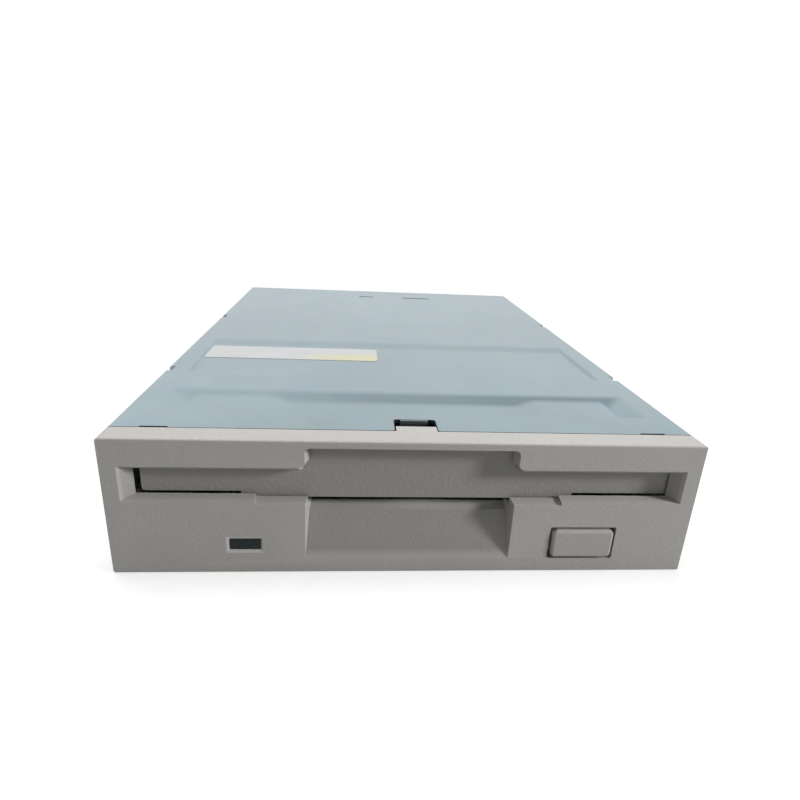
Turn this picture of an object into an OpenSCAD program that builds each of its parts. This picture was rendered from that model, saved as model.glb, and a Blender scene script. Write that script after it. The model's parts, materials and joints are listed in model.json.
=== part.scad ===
// Half-height 3.5-inch floppy disk drive with its loading, spindle and head mechanism.
// Millimetres. +Z is up and +Y points to the back. Inside the modules Y is the depth behind
// the bezel's face, and place() moves the part to its origin, the bottom centre of its box.

/* [Drive] */
// Width of the chassis, cover and bezel
drive_w = 101.6; // [101.2:0.2:104]
// Height of the bezel
drive_h = 25.4; // [25.2:0.1:27]
// Depth from the bezel's face to the rear end of the chassis
drive_d = 146; // [145:0.5:152]

/* [Diskette] */
// Width of the diskette that the drive takes
disk_w = 90; // [89.4:0.1:90.4]
// Thickness of the diskette
disk_t = 3.3; // [3.1:0.05:3.4]
// Height of the diskette's underside when it is pushed in but not loaded
disk_in_z = 14.6; // [14.4:0.1:14.8]
// How far the holder drops to load the diskette
disk_drop = 3.6; // [3.2:0.05:3.8]
// Depth of the spindle's axis behind the bezel's face
spindle_y = 55; // [54:0.25:56]

/* [Bezel] */
// Depth of the bezel's top edge
bezel_d = 5.4; // [5:0.1:5.8]
// Thickness of the bezel's front wall
bezel_wall = 2.2; // [1.8:0.1:2.3]
// Thickness of the bezel's rim
bezel_rim = 1.6; // [1.2:0.1:2]
// Rounding of the bezel's corners
bezel_corner_r = 0.8; // [0.4:0.1:1.2]
// Rounding of the bezel's front edges
bezel_edge_r = 0.4; // [0.3:0.1:1]
// Width of the tongue in the cover's notch
tongue_w = 7.1; // [6:0.1:7.2]
// Length of that tongue behind the bezel
tongue_len = 1.3; // [1:0.1:2.2]

/* [Slot] */
// Half width of the slot at the bezel's face
slot_half_w = 48; // [47.4:0.1:48.4]
// How far each slanted slot end runs inward
slot_end_slant = 1.8; // [1.2:0.1:2.2]
// Height of the lower lip at the bezel's face
lip_z = 14.1; // [13.9:0.05:14.2]
// Rise of the lower lip towards the inside
lip_rise = 0.4; // [0.2:0.05:0.5]
// Height of the upper lip at the bezel's face
upper_lip_z = 20.45; // [20.2:0.05:20.7]
// Fall of the upper lip towards the inside
upper_lip_fall = 1.1; // [0.6:0.1:1.3]
// Outer limit of the lowered stretches of the lower lip
lip_notch_x = 26.4; // [25:0.2:28]
// Depth of those lowered stretches
lip_notch_drop = 0.5; // [0.2:0.05:0.6]

/* [Finger recesses] */
// Half width of the thumb scoop and of the recess above the slot
scoop_half_w = 18; // [17:0.1:18.2]
// Height of the scoop's lower edge at the bezel's face
scoop_low_z = 2.8; // [2.4:0.1:3.4]
// Depth at which the scoop turns to its flatter ledge
scoop_turn_y = 3.1; // [2.6:0.1:3.4]
// Height of that turn
scoop_turn_z = 11; // [10.4:0.1:11.4]
// Depth of the scoop's upper edge
scoop_top_y = 4.5; // [4:0.1:4.6]
// Height of the scoop's upper edge
scoop_top_z = 12.1; // [11.8:0.1:12.4]
// Wall left behind the scoop
scoop_wall = 1.6; // [1.2:0.1:1.7]
// Draft of the side walls of both recesses
recess_draft = 0.7; // [0.2:0.1:1]
// Height of the upper recess's ceiling
recess_top_z = 24.05; // [23.8:0.05:24.2]
// Corner rounding of the upper recess
recess_r = 1; // [0.5:0.1:1.5]

/* [Door] */
// Half width of the door
door_half_w = 45.3; // [45.1:0.1:45.5]
// Thickness of the door
door_t = 1.4; // [1.2:0.1:1.5]
// Gap between the bezel's front wall and the door
door_gap = 0.4; // [0.3:0.1:0.6]
// Height of the door's hinge axis
door_axis_z = 22.55; // [22.3:0.05:22.6]
// Radius of the door's hinge barrel
door_barrel_r = 0.95; // [0.9:0.05:1.1]
// Radius of the door's hinge pins
door_pin_r = 0.75; // [0.6:0.05:0.8]
// Length of each hinge pin
door_pin_len = 2; // [1.6:0.1:2.2]
// Height of the door's lower edge on its outer stretches
door_low_z = 14.75; // [14.7:0.05:14.9]
// Outer limit of the lower edge's first step down, behind the lip
door_step_x = 29; // [27.5:0.25:31]
// First step down of the lower edge
door_mid_step = 1.05; // [0.9:0.05:1.15]
// Step down of the lower edge over the thumb scoop
door_mid_drop = 1.25; // [1.2:0.05:1.3]
// How far the door's right end reaches past its left end's distance
door_tab = 1.1; // [0.4:0.1:1.2]

/* [Light window] */
// Centre of the lens from the middle of the bezel
led_x = -28.25; // [-29:0.25:-27.5]
// Height of the lens's centre
led_z = 5.7; // [5.4:0.05:6.2]
// Width of the lens
lens_w = 5.15; // [4.5:0.05:5.5]
// Height of the lens
lens_h = 2; // [1.8:0.05:2.4]
// Length of the lens behind the bezel's face
lens_len = 6; // [5:0.1:6.4]
// Width of the bevel around the lens
lens_bevel = 0.65; // [0.4:0.05:0.8]
// Depth of that bevel
lens_sink = 0.3; // [0.2:0.05:0.6]

/* [Eject button] */
// Centre of the button from the middle of the bezel
button_x = 31.2; // [30.4:0.05:31.4]
// Height of the button's centre
button_z = 6; // [5.9:0.05:6.2]
// Width of the button
button_w = 11.2; // [10.6:0.1:11.4]
// Height of the button
button_h = 5.6; // [5.2:0.1:5.8]
// Corner rounding of the button
button_r = 1.1; // [0.6:0.1:1.4]
// Corner rounding of the button's hole
button_hole_r = 0.4; // [0.2:0.1:1]
// Gap between the button and its hole, per side
button_gap = 0.45; // [0.3:0.05:0.6]
// How far the button stands out of the bezel at rest
button_proud = 0.5; // [0.2:0.1:0.8]
// Length of the button behind the bezel's face
button_len = 10; // [9.6:0.1:10.4]
// Travel of the button and the slide plate
eject_travel = 7; // [6.4:0.1:7.2]

/* [Cover] */
// Thickness of the sheet steel cover
cover_t = 0.8; // [0.5:0.1:0.9]
// How far the cover lies below the bezel's top
cover_step = 0.15; // [0.1:0.05:0.4]
// Gap between the bezel and the cover
cover_gap = 0.55; // [0.4:0.05:0.7]
// How far the bezel's rim is cut back for the cover
cover_lap = 0.8; // [0.6:0.1:1]
// Height of the lower edge of the cover's flanges
flange_low_z = 17; // [16:0.2:18]
// Rounding of the cover's folded edges
fold_r = 0.6; // [0.3:0.1:0.7]
// Half width of the notch in the cover's front edge
notch_half_w = 3.8; // [3.7:0.1:4.4]
// Place of the notch to the right of the middle
notch_x = 0.8; // [0:0.1:1]
// Depth of the notch behind the front edge
notch_len = 5.1; // [4.8:0.1:5.6]
// Radius of the relief holes at the notch's corners
relief_r = 0.65; // [0.5:0.05:1]
// Rounding of the notch's outer corners
notch_flare_r = 0.5; // [0.3:0.1:1.2]
// Height of the tab that is bent down in the notch
notch_tab_h = 2.4; // [1.6:0.1:2.5]
// Depth of the front trough pressed into the cover
trough_depth = 1; // [0.6:0.1:1.2]
// Front edge of the trough, behind the bezel's face
trough_y0 = 13.1; // [12.8:0.1:13.6]
// Rear edge of the trough, behind the bezel's face
trough_y1 = 24.5; // [24:0.1:25.4]
// Half width of the trough
trough_half_w = 45.6; // [44:0.2:46.4]
// Width of the slope at the trough's back and ends
trough_slope = 4.2; // [3:0.1:4.6]
// Depth of the two pads that stand up in the trough
pad_depth = 0.5; // [0.3:0.05:0.6]
// Middle of each pad from the centre line
pad_x = 33.4; // [32:0.2:34]
// Width of each pad
pad_w = 14; // [12:0.2:15]
// Depth of the shallow label panel
panel_depth = 0.45; // [0.2:0.05:0.5]
// Front edge of the label panel, behind the bezel's face
panel_y0 = 36; // [34:0.2:37]
// Rear edge of the label panel, behind the bezel's face
panel_y1 = 64; // [62:0.2:65]
// Width of the slope at the panel's back
panel_slope = 4; // [1:0.2:4.4]
// Half width of the label panel
panel_half_w = 46; // [44:0.2:47]

/* [Chassis] */
// Thickness of the chassis floor
floor_t = 1.2; // [1:0.1:1.3]
// Height of the floor's top
floor_z = 7.6; // [7.5:0.05:7.65]
// Thickness of the rear wall
rear_wall_t = 3.2; // [2.6:0.1:3.4]
// Radius of the tapped mounting holes
mount_hole_r = 1.25; // [1.1:0.05:1.5]
// Height of the side mounting holes
side_hole_z = 5; // [4.8:0.1:5]
// Depth of the first side hole behind the bezel
side_hole_y = 21; // [20:0.5:23]
// Distance between the side holes
side_hole_pitch = 90; // [88:0.5:91]
// Distance between the bottom holes across the drive
bottom_hole_w = 95.25; // [94.6:0.05:95.6]
// Distance between the bottom holes along the drive
bottom_hole_pitch = 70; // [68:0.5:71]
// Depth of the mounting holes
mount_hole_len = 5; // [4:0.1:5.4]

/* [Loading mechanism] */
// Thickness of the holder's and slide plate's sheet
sheet_t = 0.8; // [0.7:0.05:0.85]
// Side play of the diskette in the holder
disk_play = 0.4; // [0.3:0.05:0.5]
// Headroom that the holder leaves over the diskette
disk_headroom = 1.1; // [1:0.05:1.2]
// Front edge of the holder
holder_y0 = 13.5; // [13.4:0.1:14]
// Rear edge of the holder
holder_y1 = 103.2; // [103:0.1:103.4]
// Gap between the holder, the slide plate and the chassis
side_gap = 0.5; // [0.4:0.05:0.6]
// Radius of the holder's guide pins
guide_pin_r = 1.1; // [0.9:0.05:1.2]
// Clearance of the guide pins in their slots
guide_play = 0.15; // [0.1:0.01:0.2]
// Depth of the front guide pins
guide_y0 = 30; // [29:0.5:31]
// Depth of the rear guide pins
guide_y1 = 82; // [81:0.5:83]
// Height of the guide pins above the holder's lips
guide_rise = 2.2; // [2:0.1:2.4]
// Number of curls in each eject spring
spring_curls = 18; // [12:1:20]
// Radius of an eject spring, to the middle of its wire
spring_r = 1; // [0.9:0.05:1.1]
// Wire radius of the springs
wire_r = 0.25; // [0.2:0.01:0.27]
// Length of each eject spring at rest
spring_len = 26; // [25:0.5:27]

/* [Shutter lever] */
// Pivot of the lever from the centre line
lever_x = -32; // [-32.5:0.1:-31.5]
// Depth of the lever's pivot
lever_y = 70; // [69.5:0.1:70.5]
// Length of the lever from its pivot to its finger
lever_len = 30; // [29.6:0.1:30.4]
// Direction of the lever at rest, from +X
lever_rest_deg = 35; // [34:0.5:36]
// Swing of the lever while a diskette loads
lever_swing_deg = 50; // [45:1:52]
// Thickness of the lever
lever_t = 1; // [0.8:0.1:1.2]
// Radius of the lever's pivot post
lever_post_r = 1.5; // [1.2:0.1:1.8]

/* [Spindle motor] */
// Radius of the rotor cup
rotor_r = 24; // [23:0.1:24.5]
// Height of the rotor cup
rotor_h = 4; // [3.8:0.05:4.1]
// Clearance under the rotor
rotor_z = 0.8; // [0.6:0.05:0.9]
// Thickness of the rotor's sheet
rotor_t = 0.8; // [0.6:0.05:0.9]
// Thickness of the ring magnet
magnet_t = 2; // [1.6:0.1:2.2]
// Thickness of the motor board
motor_board_t = 1.2; // [1:0.05:1.2]
// Number of stator teeth
stator_teeth = 15; // [9:3:15]
// Radius of the spindle shaft
shaft_r = 1.5; // [1.2:0.05:1.8]
// Running clearance of shafts and pivots
run_clear = 0.05; // [0.03:0.01:0.08]
// Radius of the chuck hub
hub_r = 13.5; // [12.5:0.1:14]
// Height of the chuck hub's face
hub_z = 11.2; // [11:0.05:11.3]
// Radius of the drive pin's circle
drive_pin_at = 10; // [9.6:0.1:10.4]
// Radius of the drive pin
drive_pin_r = 1.2; // [1:0.05:1.4]

/* [Head mechanism] */
// Distance of the outermost track from the spindle
track_out = 39.5; // [39.3:0.05:39.7]
// Distance of the innermost track from the spindle
track_in = 24.7; // [24.6:0.05:25]
// Height of the lower head's face
head_z = 12.6; // [12.4:0.05:12.7]
// Distance of the arm's pivot behind the heads
arm_len = 27; // [26.6:0.1:27.4]
// Height of the arm's pivot
arm_pivot_z = 15.5; // [15.4:0.05:15.6]
// Angle at which the upper arm is held up at rest
arm_lift_deg = 11.5; // [11.4:0.05:11.8]
// Guide rod's distance from the centre line
rod_x = -20; // [-20.5:0.1:-19.5]
// Height of the guide rod's axis
rod_z = 9.2; // [9.15:0.01:9.3]
// Radius of the guide rod
rod_r = 1.5; // [1.3:0.05:1.5]
// Stepper motor's distance from the centre line
stepper_x = 22; // [21.8:0.1:22.6]
// Height of the stepper motor's axis
stepper_z = 13.6; // [13.5:0.05:13.8]
// Radius of the stepper motor
stepper_r = 10; // [9.5:0.1:10.2]
// Length of the stepper motor
stepper_len = 15; // [14:0.1:16]
// Depth of the stepper motor's front face
stepper_y = 124; // [123.8:0.1:124.4]
// Radius of the lead screw
screw_r = 1.6; // [1.4:0.05:1.7]

/* [Boards and connectors] */
// Thickness of the main board
main_board_t = 1.6; // [1.2:0.1:1.6]
// Height of the main board's underside
main_board_z = 1.6; // [1.5:0.05:1.8]
// Half width of the main board
main_board_half_w = 43.5; // [43:0.1:44]
// Front edge of the main board
main_board_y0 = 90; // [89:0.5:92]
// Pitch of the signal pins
pin_pitch = 2.54; // [2:0.01:2.54]
// Pins in each row of the signal connector
pin_count = 17; // [13:1:17]
// Width of a signal pin
pin_w = 0.64; // [0.5:0.01:0.7]
// Pitch of the power pins
power_pitch = 2.5; // [2:0.05:2.54]
// Travel of the sense switches' plungers
plunger_travel = 1.4; // [1:0.1:1.5]

/* [Hidden] */
$fn = 48;
// Overlap of a cut past the face that it opens
cut = 1;
// Gap between pieces that meet without a fit
seam = 0.2;
// Gap around a piece that sits tight in another
press = 0.02;
hw = drive_w / 2;

// Width and depth of a standard drive; one of another size moves its stations with its walls
bay_size = [101.6, 146];
widen = (drive_w - bay_size[0]) / 2;
across = drive_w / bay_size[0];
deepen = drive_d - bay_size[1];
slot_x = slot_half_w + widen;
door_x = door_half_w + widen;
trough_x = trough_half_w + widen;
panel_x = panel_half_w + widen;
pad_at = pad_x + widen;
board_x = main_board_half_w + widen;
hole_x = bottom_hole_w / 2 + widen;
button_at = button_x + widen;
led_at = led_x * across;
lever_at = lever_x * across;
rod_at = rod_x * across;
stepper_at = stepper_x * across;
spindle_at = spindle_y + deepen;
guide_ys = [guide_y0 + deepen, guide_y1 + deepen];
holder_end = holder_y1 + deepen;
lever_axis_y = lever_y + deepen;
stepper_face = stepper_y + deepen;
board_y0 = main_board_y0 + deepen;

cover_z = drive_h - cover_step;
cover_y0 = bezel_d + seam;
cover_front = bezel_d - cover_lap + cover_gap;
cover_under_z = cover_z - cover_t;

// Stations across the drive, from the diskette outwards
holder_in = disk_w / 2 + disk_play + widen;
holder_out = holder_in + sheet_t;
flange_in = holder_out + side_gap;
flange_out = flange_in + sheet_t;
wall_in = flange_out + side_gap;
rebate_x = hw - cover_t - 0.1;
guide_tip = wall_in + 1.3;

// Heights of the loading mechanism at rest
lip_low_z = disk_in_z - 0.2 - sheet_t;
lip_top_z = lip_low_z + sheet_t;
holder_top_z = lip_top_z + disk_t + disk_headroom;
holder_lid_z = holder_top_z + sheet_t;
guide_z = lip_top_z + guide_rise;
slide_z = floor_z + 0.3;
slide_top = slide_z + sheet_t;
slide_y0 = 22;
slide_y1 = guide_ys[1] + eject_travel + 9;
slide_in = holder_in - 4.4;
cheek_top = guide_z + guide_pin_r + 1;
post_x = (slide_in + flange_in) / 2;
post_ys = [spindle_at - 5, spindle_at + 31];
post_r = 1;
lug_y0 = lever_axis_y + 1.6;
spring_x = slide_in - 3;
spring_z = slide_z + 1.4;
spring_y1 = 70;
spring_y0 = spring_y1 - spring_len;

// Door and its hinge
door_y = bezel_wall + door_gap;
door_axis_y = door_y + 1.8;
ear_x0 = door_x + 0.6;
ear_x1 = door_x + door_pin_len + 0.3;
door_top_z = door_axis_z + 0.6;

// Head mechanism at rest, with the heads over the outermost track
head_y = spindle_at + track_out;
seek_travel = track_out - track_in;
pivot_y = head_y + arm_len;
arm_low_z = arm_pivot_z + 0.8;
arm_t = 1.2;
carriage_low = floor_z + 0.6;
carriage_deck = carriage_low + 2.4;
tower_y0 = pivot_y - 5.5;
tower_y1 = pivot_y + 4.5;
bush_r = rod_r + 1.5;
screw_y1 = stepper_face - 1.6;
bracket_t = 1.2;
screw_y0 = screw_y1 - seek_travel - 2.2;
follower_y = screw_y1 - 1.2;
rod_y0 = tower_y0 - seek_travel - 4.2;
rod_y1 = tower_y1 + 5;

// Spindle motor heights
motor_board_z = floor_z - floor_t - motor_board_t;
tooth_r = rotor_r - rotor_t - magnet_t - 0.5;
bearing_r = 5;
hub_low_z = hub_z - 1.6;

// Rear end
rear_y = drive_d;
rear_wall_y = rear_y - rear_wall_t;
main_board_y1 = rear_wall_y - 1.8;
main_board_top = main_board_z + main_board_t;
header_x = -19.5 * across;
header_w = pin_count * pin_pitch + 1.2;
header_h = 2 * pin_pitch + 0.4;
power_x = 38 * across;
power_w = 3 * power_pitch + 3;
power_h = 6.2;
connector_top = floor_z + 3.6;
boss_x = board_x - 5.5;
board_boss = [[-boss_x, board_y0 + 7], [boss_x, board_y0 + 7], [-boss_x, rear_y - 17],
    [stepper_at + 5, board_y0 + 14]];
motor_screw_r = rotor_r + 3;
motor_screw_degs = [40, 160, 270];
side_hole_ys = [bezel_d + side_hole_y, bezel_d + side_hole_y + side_hole_pitch];
bottom_hole_y0 = bezel_d + side_hole_y + (side_hole_pitch - bottom_hole_pitch) / 2;
bottom_hole_ys = [bottom_hole_y0, bottom_hole_y0 + bottom_hole_pitch];
cover_screw_ys = [20, rear_y - 15];
cover_screw_z = (flange_low_z + cover_z) / 2 + 0.2;
cover_screw_r = 1.25;
cover_head_r = 2.4;
switch_y = 17;
switch_xs = [3 - slide_in, slide_in - 3, 10 - slide_in];
switch_h = 2.6;
plunger_r = 0.9;
plunger_top = lip_top_z - 2.2;

bezel_grey = [0.77, 0.755, 0.72];
zinc = [0.72, 0.76, 0.78];
cast_grey = [0.66, 0.67, 0.68];
steel = [0.62, 0.63, 0.65];
dark = [0.12, 0.13, 0.14];
board_green = [0.12, 0.33, 0.2];
copper = [0.72, 0.4, 0.2];
brass = [0.78, 0.62, 0.3];

// Places the part with its origin at the bottom centre of its box
module place() translate([0, -(drive_d - button_proud) / 2, 0]) children();

module box(low, high) translate(low) cube(high - low);

// Draws the same thing on both sides of the centre line
module both_sides() {
    children();
    mirror([1, 0, 0]) children();
}

// Runs an outline given as (x, z) along Y, from y0 for len
module along_y(y0, len) translate([0, y0 + len, 0]) rotate([90, 0, 0]) linear_extrude(len) children();

// Runs an outline given as (y, z) along X, from x0 for len
module along_x(x0, len) translate([x0, 0, 0]) rotate([90, 0, 90]) linear_extrude(len) children();

// Runs an outline given as (x, y) up Z, from z0 for len
module along_z(z0, len) translate([0, 0, z0]) linear_extrude(len) children();

// Round bar along Y
module bar_y(x, z, r, y0, y1) translate([x, y1, z]) rotate([90, 0, 0]) cylinder(r = r, h = y1 - y0);

// Round bar along X
module bar_x(y, z, r, x0, x1) translate([x0, y, z]) rotate([0, 90, 0]) cylinder(r = r, h = x1 - x0);

// Rectangle about the origin with round corners
module round_rect(w, h, r) {
    square([w - 2 * r, h], center = true);
    square([w, h - 2 * r], center = true);
    for (sx = [-1, 1], sy = [-1, 1])
        translate([sx * (w / 2 - r), sy * (h / 2 - r)]) circle(r);
}

// Rectangle from (0, 0) to (d, h) whose edges at 0 are rounded
module front_rounded(d, h, r) {
    translate([r, 0]) square([d - r, h]);
    translate([0, r]) square([d, h - 2 * r]);
    translate([r, r]) circle(r);
    translate([r, h - r]) circle(r);
}

// Block w by h from y0 to y1 with round corners and round front edges, centred on (x, z)
module rounded_front_block(x, z, w, h, y0, y1, corner_r, edge_r)
    intersection() {
        along_y(y0, y1 - y0) translate([x, z]) round_rect(w, h, corner_r);
        along_x(x - w / 2, w) translate([y0, z - h / 2]) front_rounded(y1 - y0, h, edge_r);
        along_z(z - h / 2, h)
            translate([x + w / 2, y0]) rotate(90) front_rounded(y1 - y0, w, edge_r);
    }

// Slot between two points of a plane with round ends
module slot_between(a, b, r) {
    n = [-(b - a)[1], (b - a)[0]] / norm(b - a) * r;
    polygon([a + n, a - n, b - n, b + n]);
    translate(a) circle(r);
    translate(b) circle(r);
}

// Helical wire about Z with straight runs at both ends, as one swept tube of six sides
function helix_points(r, len, curls) = [
    for (i = [0 : curls * 8]) [r * cos(i * 45), r * sin(i * 45), len * i / (curls * 8)]
];
// Least gap between stretches of a wire that lie over half a curl apart
function self_gap(points, r) = min([
    for (i = [0 : len(points) - 6], j = [i + 5 : len(points) - 1]) norm(points[i] - points[j])
]) - 2 * r;
module swept_wire(points, r) {
    n = len(points);
    sides = 6;
    ahead = [for (i = [0 : n - 1]) points[min(i + 1, n - 1)] - points[max(i - 1, 0)]];
    side = [for (i = [0 : n - 1]) let (c = cross(ahead[i], [0.013, 0.021, 1]))
        norm(c) > 0 ? c / norm(c) : [1, 0, 0]];
    up = [for (i = [0 : n - 1]) cross(side[i], ahead[i]) / norm(ahead[i])];
    rings = [for (i = [0 : n - 1], k = [0 : sides - 1])
        points[i] + r * (cos(60 * k) * side[i] + sin(60 * k) * up[i])];
    walls = [for (i = [0 : n - 2], k = [0 : sides - 1], half = [0, 1])
        let (a = i * sides + k, b = i * sides + (k + 1) % sides)
        half == 0 ? [a, b, b + sides] : [a, b + sides, a + sides]];
    first = [for (k = [1 : sides - 2]) [0, k + 1, k]];
    last = [for (k = [1 : sides - 2]) let (o = (n - 1) * sides) [o, o + k, o + k + 1]];
    polyhedron(rings, concat(walls, first, last));
}

// Countersunk head and shank along +Z, with the head's flat side at z = 0
module flat_screw(head_r, r, sink, len) {
    cylinder(r1 = head_r, r2 = r, h = sink);
    cylinder(r = r, h = len);
}

// Pan head and shank along +Z, with the head below z = 0
module pan_screw(head_r, head_h, r, len) {
    translate([0, 0, -head_h]) cylinder(r = head_r, h = head_h);
    cylinder(r = r, h = len);
}

module front_bezel() color(bezel_grey) difference() {
    union() {
        difference() {
            bezel_shell();
            slot_mouth();
        }
        both_sides() door_ear();
    }
    upper_recess();
    thumb_scoop();
    light_window();
    button_hole(bezel_wall + 4);
}

// Front wall and rim, with what is moulded onto their inside
module bezel_shell() {
    difference() {
        rounded_front_block(0, drive_h / 2, drive_w, drive_h, 0, bezel_d, bezel_corner_r, bezel_edge_r);
        box([-hw + bezel_rim, bezel_wall, bezel_rim],
            [hw - bezel_rim, bezel_d + cut, drive_h - bezel_rim]);
        difference() {
            box([-hw - cut, bezel_d - cover_lap, flange_low_z - seam],
                [hw + cut, bezel_d + cut, drive_h + cut]);
            box([notch_x - tongue_w / 2, 0, 0], [notch_x + tongue_w / 2, drive_d, drive_h + 1]);
        }
    }
    box([notch_x - tongue_w / 2, bezel_d - 0.1, cover_z - bezel_rim],
        [notch_x + tongue_w / 2, bezel_d + tongue_len, drive_h]);
    along_x(-scoop_half_w - scoop_wall, 2 * (scoop_half_w + scoop_wall))
        polygon([[0.5, bezel_rim / 2], [bezel_wall, bezel_rim / 2],
            [scoop_turn_y + scoop_wall, scoop_turn_z - 0.9],
            [scoop_top_y + 0.1, scoop_top_z - 0.6],
            [scoop_top_y + 0.1, scoop_top_z + 0.6], [0.5, scoop_top_z + 0.6]]);
    along_y(bezel_wall / 2, bezel_d - bezel_wall / 2 - 0.4) translate([button_at, button_z])
        round_rect(button_w + 2 * button_gap + 2.4, button_h + 2 * button_gap + 2.4, button_r + 1.2);
    along_y(bezel_wall / 2, bezel_d - bezel_wall / 2 - 0.8) translate([led_at, led_z])
        square([lens_w + 2.4, lens_h + 2.4], center = true);
    both_sides() side_hook();
}

// Snap hook that holds the bezel in a window of the chassis wall
hook_y = bezel_d + 6;
hook_z = [9.5, 13];
module side_hook() along_z(hook_z[0], hook_z[1] - hook_z[0])
    polygon([[wall_in - 1.4, bezel_wall / 2], [wall_in - 0.2, bezel_wall / 2],
        [wall_in - 0.2, hook_y - 2.2],
        [wall_in + 1.1, hook_y - 2.2], [wall_in - 0.2, hook_y], [wall_in - 1.4, hook_y]]);

// Mouth of the slot, slanted at its ends and sloped at both lips
module slot_mouth() {
    slope = slot_end_slant / bezel_wall;
    intersection() {
        along_z(lip_z - 1, upper_lip_z - lip_z + 2)
            polygon([[-slot_x - slope, -cut], [slot_x + slope, -cut],
                [slot_x - slot_end_slant, bezel_wall],
                    [slot_x - slot_end_slant, bezel_wall + cut],
                [-slot_x + slot_end_slant, bezel_wall + cut],
                    [-slot_x + slot_end_slant, bezel_wall]]);
        along_x(-hw, drive_w) lip_outline(0);
    }
    both_sides() along_x(scoop_half_w - 0.5, lip_notch_x - scoop_half_w + 0.5) lip_outline(lip_notch_drop);
}
module lip_outline(drop) polygon([
    [-cut, lip_z - drop], [0, lip_z - drop], [bezel_wall, lip_z + lip_rise - drop],
    [bezel_wall + 0.3, lip_z + lip_rise - drop], [bezel_wall + 0.3, upper_lip_z - upper_lip_fall],
    [bezel_wall, upper_lip_z - upper_lip_fall], [bezel_wall * 0.4, upper_lip_z - upper_lip_fall * 0.6],
    [0, upper_lip_z], [-cut, upper_lip_z]
]);

// Plan of the drafted side walls of the two finger recesses
module drafted_plan(depth) polygon([
    [-scoop_half_w, -cut], [scoop_half_w, -cut], [scoop_half_w, 0],
    [scoop_half_w - recess_draft, depth], [scoop_half_w - recess_draft, depth + 4],
    [-scoop_half_w + recess_draft, depth + 4], [-scoop_half_w + recess_draft, depth], [-scoop_half_w, 0]
]);

// Finger recess over the slot, through which the door's upper part shows
module upper_recess() {
    through = bezel_wall + 0.2;
    low = upper_lip_z - 3;
    intersection() {
        along_z(low, recess_top_z - low) drafted_plan(through);
        along_y(-cut, through + cut) translate([0, (low + recess_top_z) / 2])
            round_rect(2 * scoop_half_w, recess_top_z - low, recess_r);
    }
    both_sides() translate([scoop_half_w, 0, 0]) rotate([0, 0, atan(recess_draft / through)])
        along_y(-cut, through + cut) difference() {
            translate([-0.1, low]) square([recess_r + 0.1, upper_lip_z + recess_r - low]);
            translate([recess_r, upper_lip_z + recess_r]) circle(recess_r);
        }
}

module thumb_scoop() intersection() {
    along_z(0, upper_lip_z) drafted_plan(scoop_top_y);
    along_x(-scoop_half_w - 1, 2 * scoop_half_w + 2)
        polygon([[-cut, scoop_low_z - 0.6], [0, scoop_low_z], [scoop_turn_y, scoop_turn_z],
            [scoop_top_y, scoop_top_z], [scoop_top_y + 4, scoop_top_z],
            [scoop_top_y + 4, lip_z + 1.2], [-cut, lip_z + 1.2]]);
}

// Bevelled window that holds the lens
module light_window() {
    w = lens_w + 2 * lens_bevel;
    h = lens_h + 2 * lens_bevel;
    over = cut * lens_bevel / lens_sink;
    along_y(-cut, bezel_d + 2 * cut) translate([led_at, led_z])
        square([lens_w + 0.1, lens_h + 0.1], center = true);
    intersection() {
        along_z(0, drive_h) translate([led_at, 0])
            polygon([[-w / 2 - over, -cut], [w / 2 + over, -cut], [lens_w / 2, lens_sink],
                [-lens_w / 2, lens_sink]]);
        along_x(led_at - w, 2 * w) translate([0, led_z])
            polygon([[-cut, -h / 2 - over], [lens_sink, -lens_h / 2], [lens_sink, lens_h / 2],
                [-cut, h / 2 + over]]);
    }
}

module button_hole(len) along_y(-cut, len + cut) translate([button_at, button_z])
    round_rect(button_w + 2 * button_gap, button_h + 2 * button_gap, button_hole_r);

// Ear with the bore for one hinge pin of the door
module door_ear() difference() {
    box([ear_x0, bezel_wall - 0.2, door_axis_z - 1.5], [ear_x1, bezel_d, door_axis_z + 1.5]);
    bar_x(door_axis_y, door_axis_z, door_pin_r + run_clear, ear_x0 - cut, ear_x1 + cut);
}

module led_lens() color([0.13, 0.17, 0.17])
    rounded_front_block(led_at, led_z, lens_w, lens_h, lens_sink * 0.4, lens_len, 0.2, 0.1);

// Light-emitting diode on its bent leads, which stand on the motor board
led_y1 = lens_len + 3.4;
led_leg_y = led_y1 + 3;
module status_led() color([0.75, 0.78, 0.72]) {
    box([led_at - 1.9, lens_len, led_z - 1], [led_at + 1.9, led_y1, led_z + 1]);
    for (dx = [-1.27, 1.27])
        box([led_at + dx - 0.25, led_y1, motor_board_z + motor_board_t],
            [led_at + dx + 0.25, led_leg_y + 1.5, motor_board_z + motor_board_t + 0.5]);
}

// Door with its hinge line, a pocket for the spring and a tab at its right end
module slot_door() color(bezel_grey) {
    difference() {
        union() {
            along_y(door_y, door_t) door_face();
            bar_x(door_axis_y, door_axis_z, door_barrel_r, -door_x, door_x);
        }
        box([door_coil_x - 0.4, door_y + 0.5, door_axis_z - 1.6],
            [door_coil_x + door_coil_len + 0.4, door_axis_y + 2, door_top_z + cut]);
    }
    bar_x(door_y + door_t / 2, door_low_z - door_mid_drop + door_t / 2, door_t / 2, -scoop_half_w,
        scoop_half_w);
    bar_x(door_axis_y, door_axis_z, 0.5, door_coil_x - 0.5, door_coil_x + door_coil_len + 0.5);
    both_sides()
        bar_x(door_axis_y, door_axis_z, door_pin_r, door_x - 0.1, door_x + door_pin_len);
    box([door_x - 1, door_y, door_low_z], [door_x + door_tab, door_y + door_t, door_axis_z - 2.2]);
}
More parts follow.
